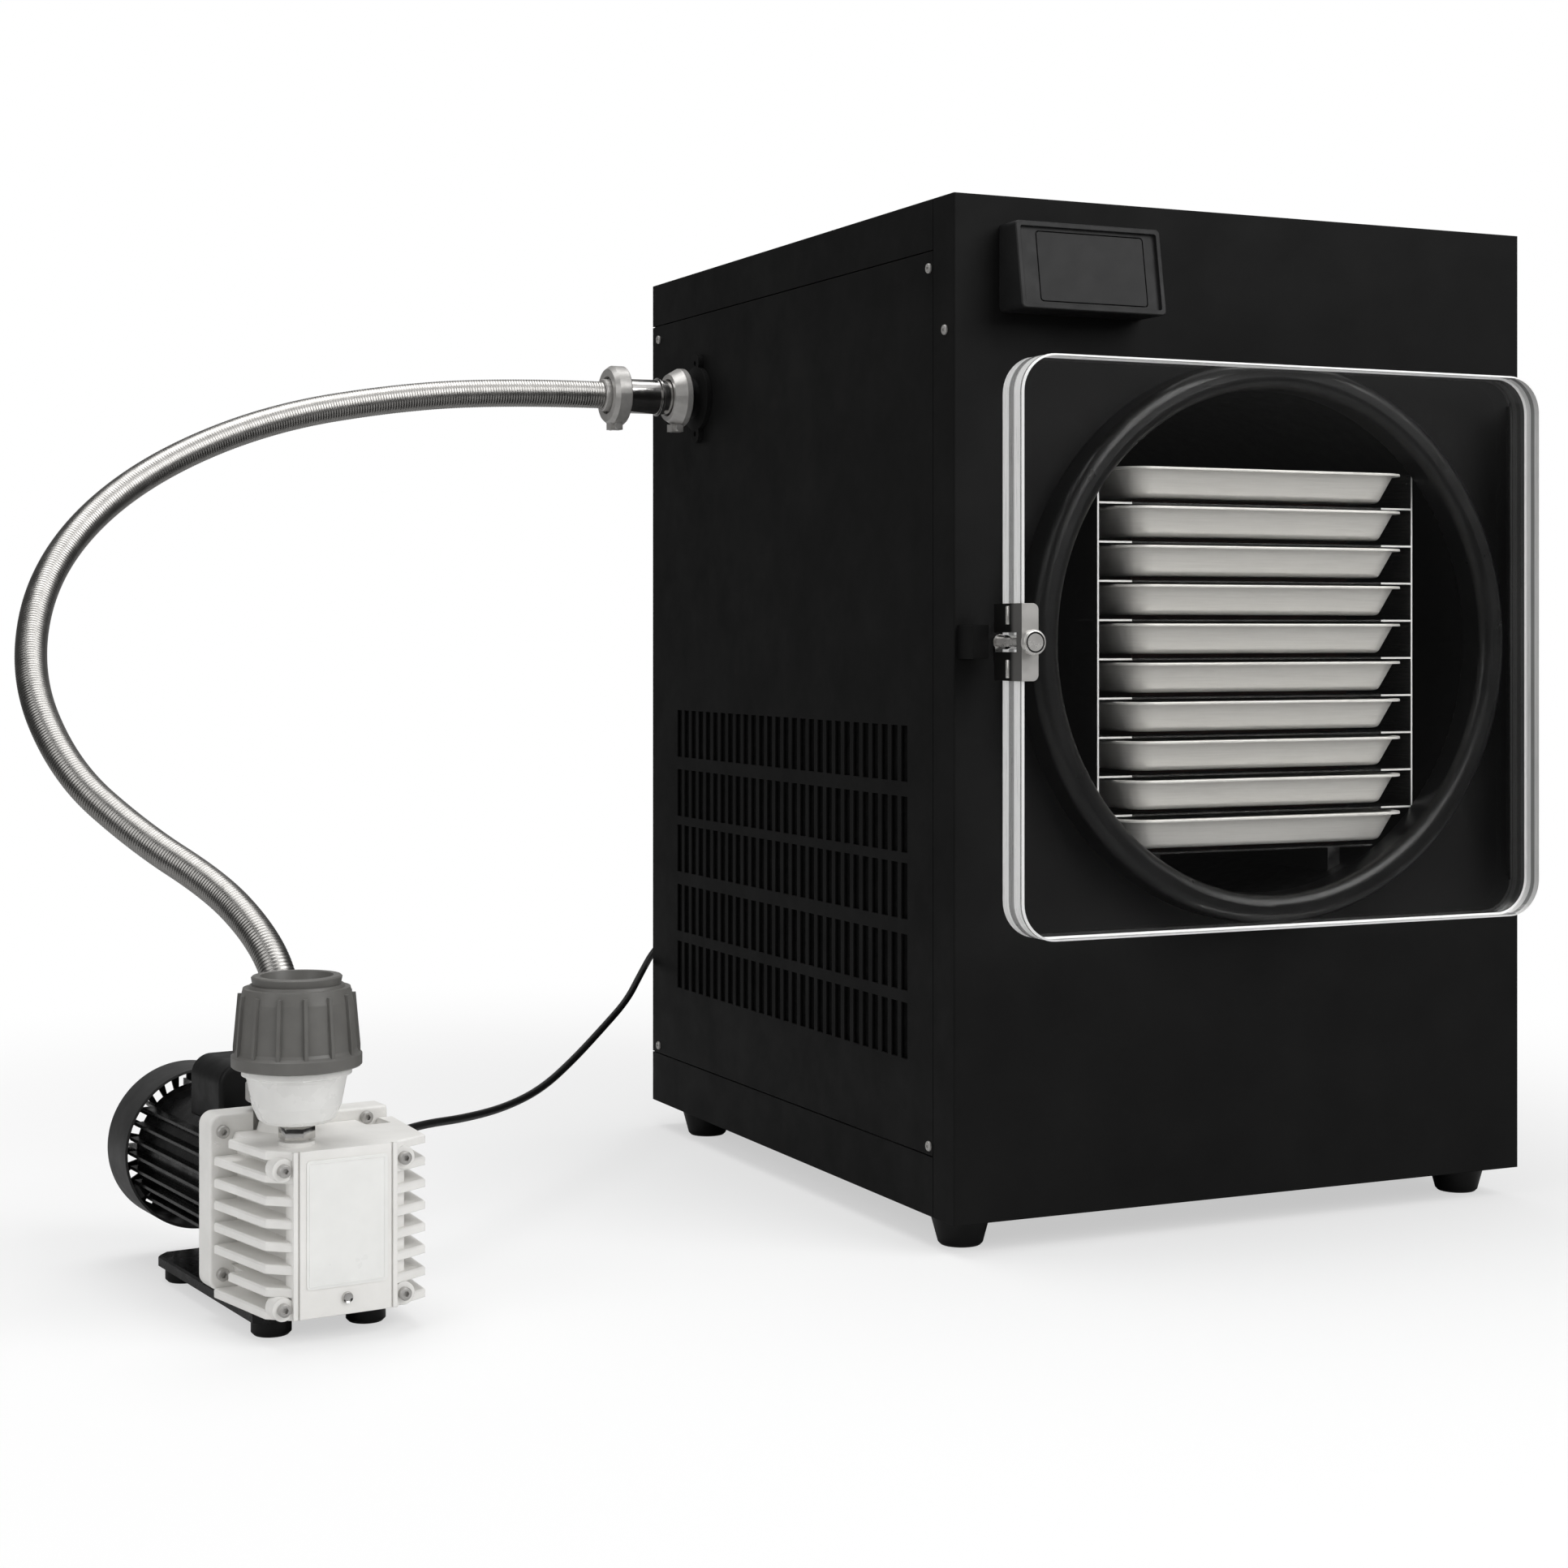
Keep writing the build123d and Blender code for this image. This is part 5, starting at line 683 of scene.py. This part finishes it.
world = bpy.data.worlds.new("studio")
bpy.context.scene.world = world
world.use_nodes = True
tree = world.node_tree
room = tree.nodes["Background"]
room.inputs["Color"].default_value = (1, 1, 1, 1)
room.inputs["Strength"].default_value = ROOM_LIGHT
direction = tree.nodes.new("ShaderNodeTexCoord").outputs["Generated"]
glints = []
for way, start, strength in GLINTS:
    toward = tree.nodes.new("ShaderNodeVectorMath")
    toward.operation = "DOT_PRODUCT"
    toward.inputs[1].default_value = way
    tree.links.new(direction, toward.inputs[0])
    glints.append(carry(tree, toward.outputs["Value"], ROOM_GLINT, strength, start, 0.95, "SMOOTHSTEP"))
mirrored = tree.nodes.new("ShaderNodeBackground")
tree.links.new(reckon(tree, "MAXIMUM", *glints), mirrored.inputs["Strength"])
backdrop = tree.nodes.new("ShaderNodeBackground")
backdrop.inputs["Color"].default_value = (1, 1, 1, 1)
backdrop.inputs["Strength"].default_value = 1.0
seen, glossed = seen_and_mirrored(tree)
sky = layered(tree, room.outputs["Background"], ((seen, backdrop.outputs["Background"]),
                                                 (glossed, mirrored.outputs["Background"])))
tree.links.new(sky, tree.nodes["World Output"].inputs["Surface"])

# The floor keeps the object's shadow near it and runs out into plain white.
FLOOR_RADIUS = 1.6
FLOOR_DROP = 0.0004                             # under the feet
WHITE_FROM, WHITE_AT = (0.5, 0.55), (1.5, 1.0)  # distance from the middle, share of plain white

floor_material = bpy.data.materials.new("pale_floor")
floor_material.use_nodes = True
tree = floor_material.node_tree
floor_shader = tree.nodes["Principled BSDF"]
floor_shader.inputs["Base Color"].default_value = (0.86, 0.86, 0.86, 1)
floor_shader.inputs["Roughness"].default_value = 0.9
floor_shader.inputs["Specular IOR Level"].default_value = 0.0
glow = tree.nodes.new("ShaderNodeEmission")
glow.inputs["Strength"].default_value = 1.0
dim_floor = tree.nodes.new("ShaderNodeBsdfDiffuse")
dim_floor.inputs["Color"].default_value = (0.45, 0.45, 0.45, 1)
far_out = tree.nodes.new("ShaderNodeVectorMath")
far_out.operation = "LENGTH"
tree.links.new(tree.nodes.new("ShaderNodeTexCoord").outputs["Object"], far_out.inputs[0])
white = carry(tree, far_out.outputs["Value"], WHITE_FROM[1], WHITE_AT[1], WHITE_FROM[0], WHITE_AT[0], "SMOOTHSTEP")
seen, glossed = seen_and_mirrored(tree)
white_seen = reckon(tree, "MULTIPLY", white, seen)
ground = layered(tree, floor_shader.outputs["BSDF"], ((white_seen, glow.outputs["Emission"]),
                                                      (glossed, dim_floor.outputs["BSDF"])))
tree.links.new(ground, tree.nodes["Material Output"].inputs["Surface"])

shape = bmesh.new()
bmesh.ops.create_circle(shape, cap_ends=True, segments=96, radius=FLOOR_RADIUS)
bmesh.ops.translate(shape, vec=(0, 0, -FLOOR_DROP), verts=shape.verts)
floor_mesh = bpy.data.meshes.new("floor")
shape.to_mesh(floor_mesh)
shape.free()
link("floor", floor_mesh, floor_material)


def panel_light(name, place, target, size, power):
    """A soft square lamp that looks at a point."""
    lamp = bpy.data.lights.new(name, "AREA")
    lamp.shape = "RECTANGLE"
    lamp.size, lamp.size_y = size
    lamp.energy = power
    light = link(name, lamp)
    light.location = place
    light.rotation_euler = (Vector(target) - Vector(place)).to_track_quat("-Z", "Y").to_euler()


panel_light("key", (1.4, -2.6, 2.3), (0, -0.1, 0.35), (2.4, 2.4), 66)
panel_light("fill", (-2.6, -1.2, 1.5), (-0.2, 0, 0.4), (1.6, 2.0), 17)
panel_light("top", (-0.3, 0.4, 3.0), (-0.1, 0, 0.3), (2.6, 1.6), 46)

bpy.context.scene.view_settings.view_transform = "Standard"
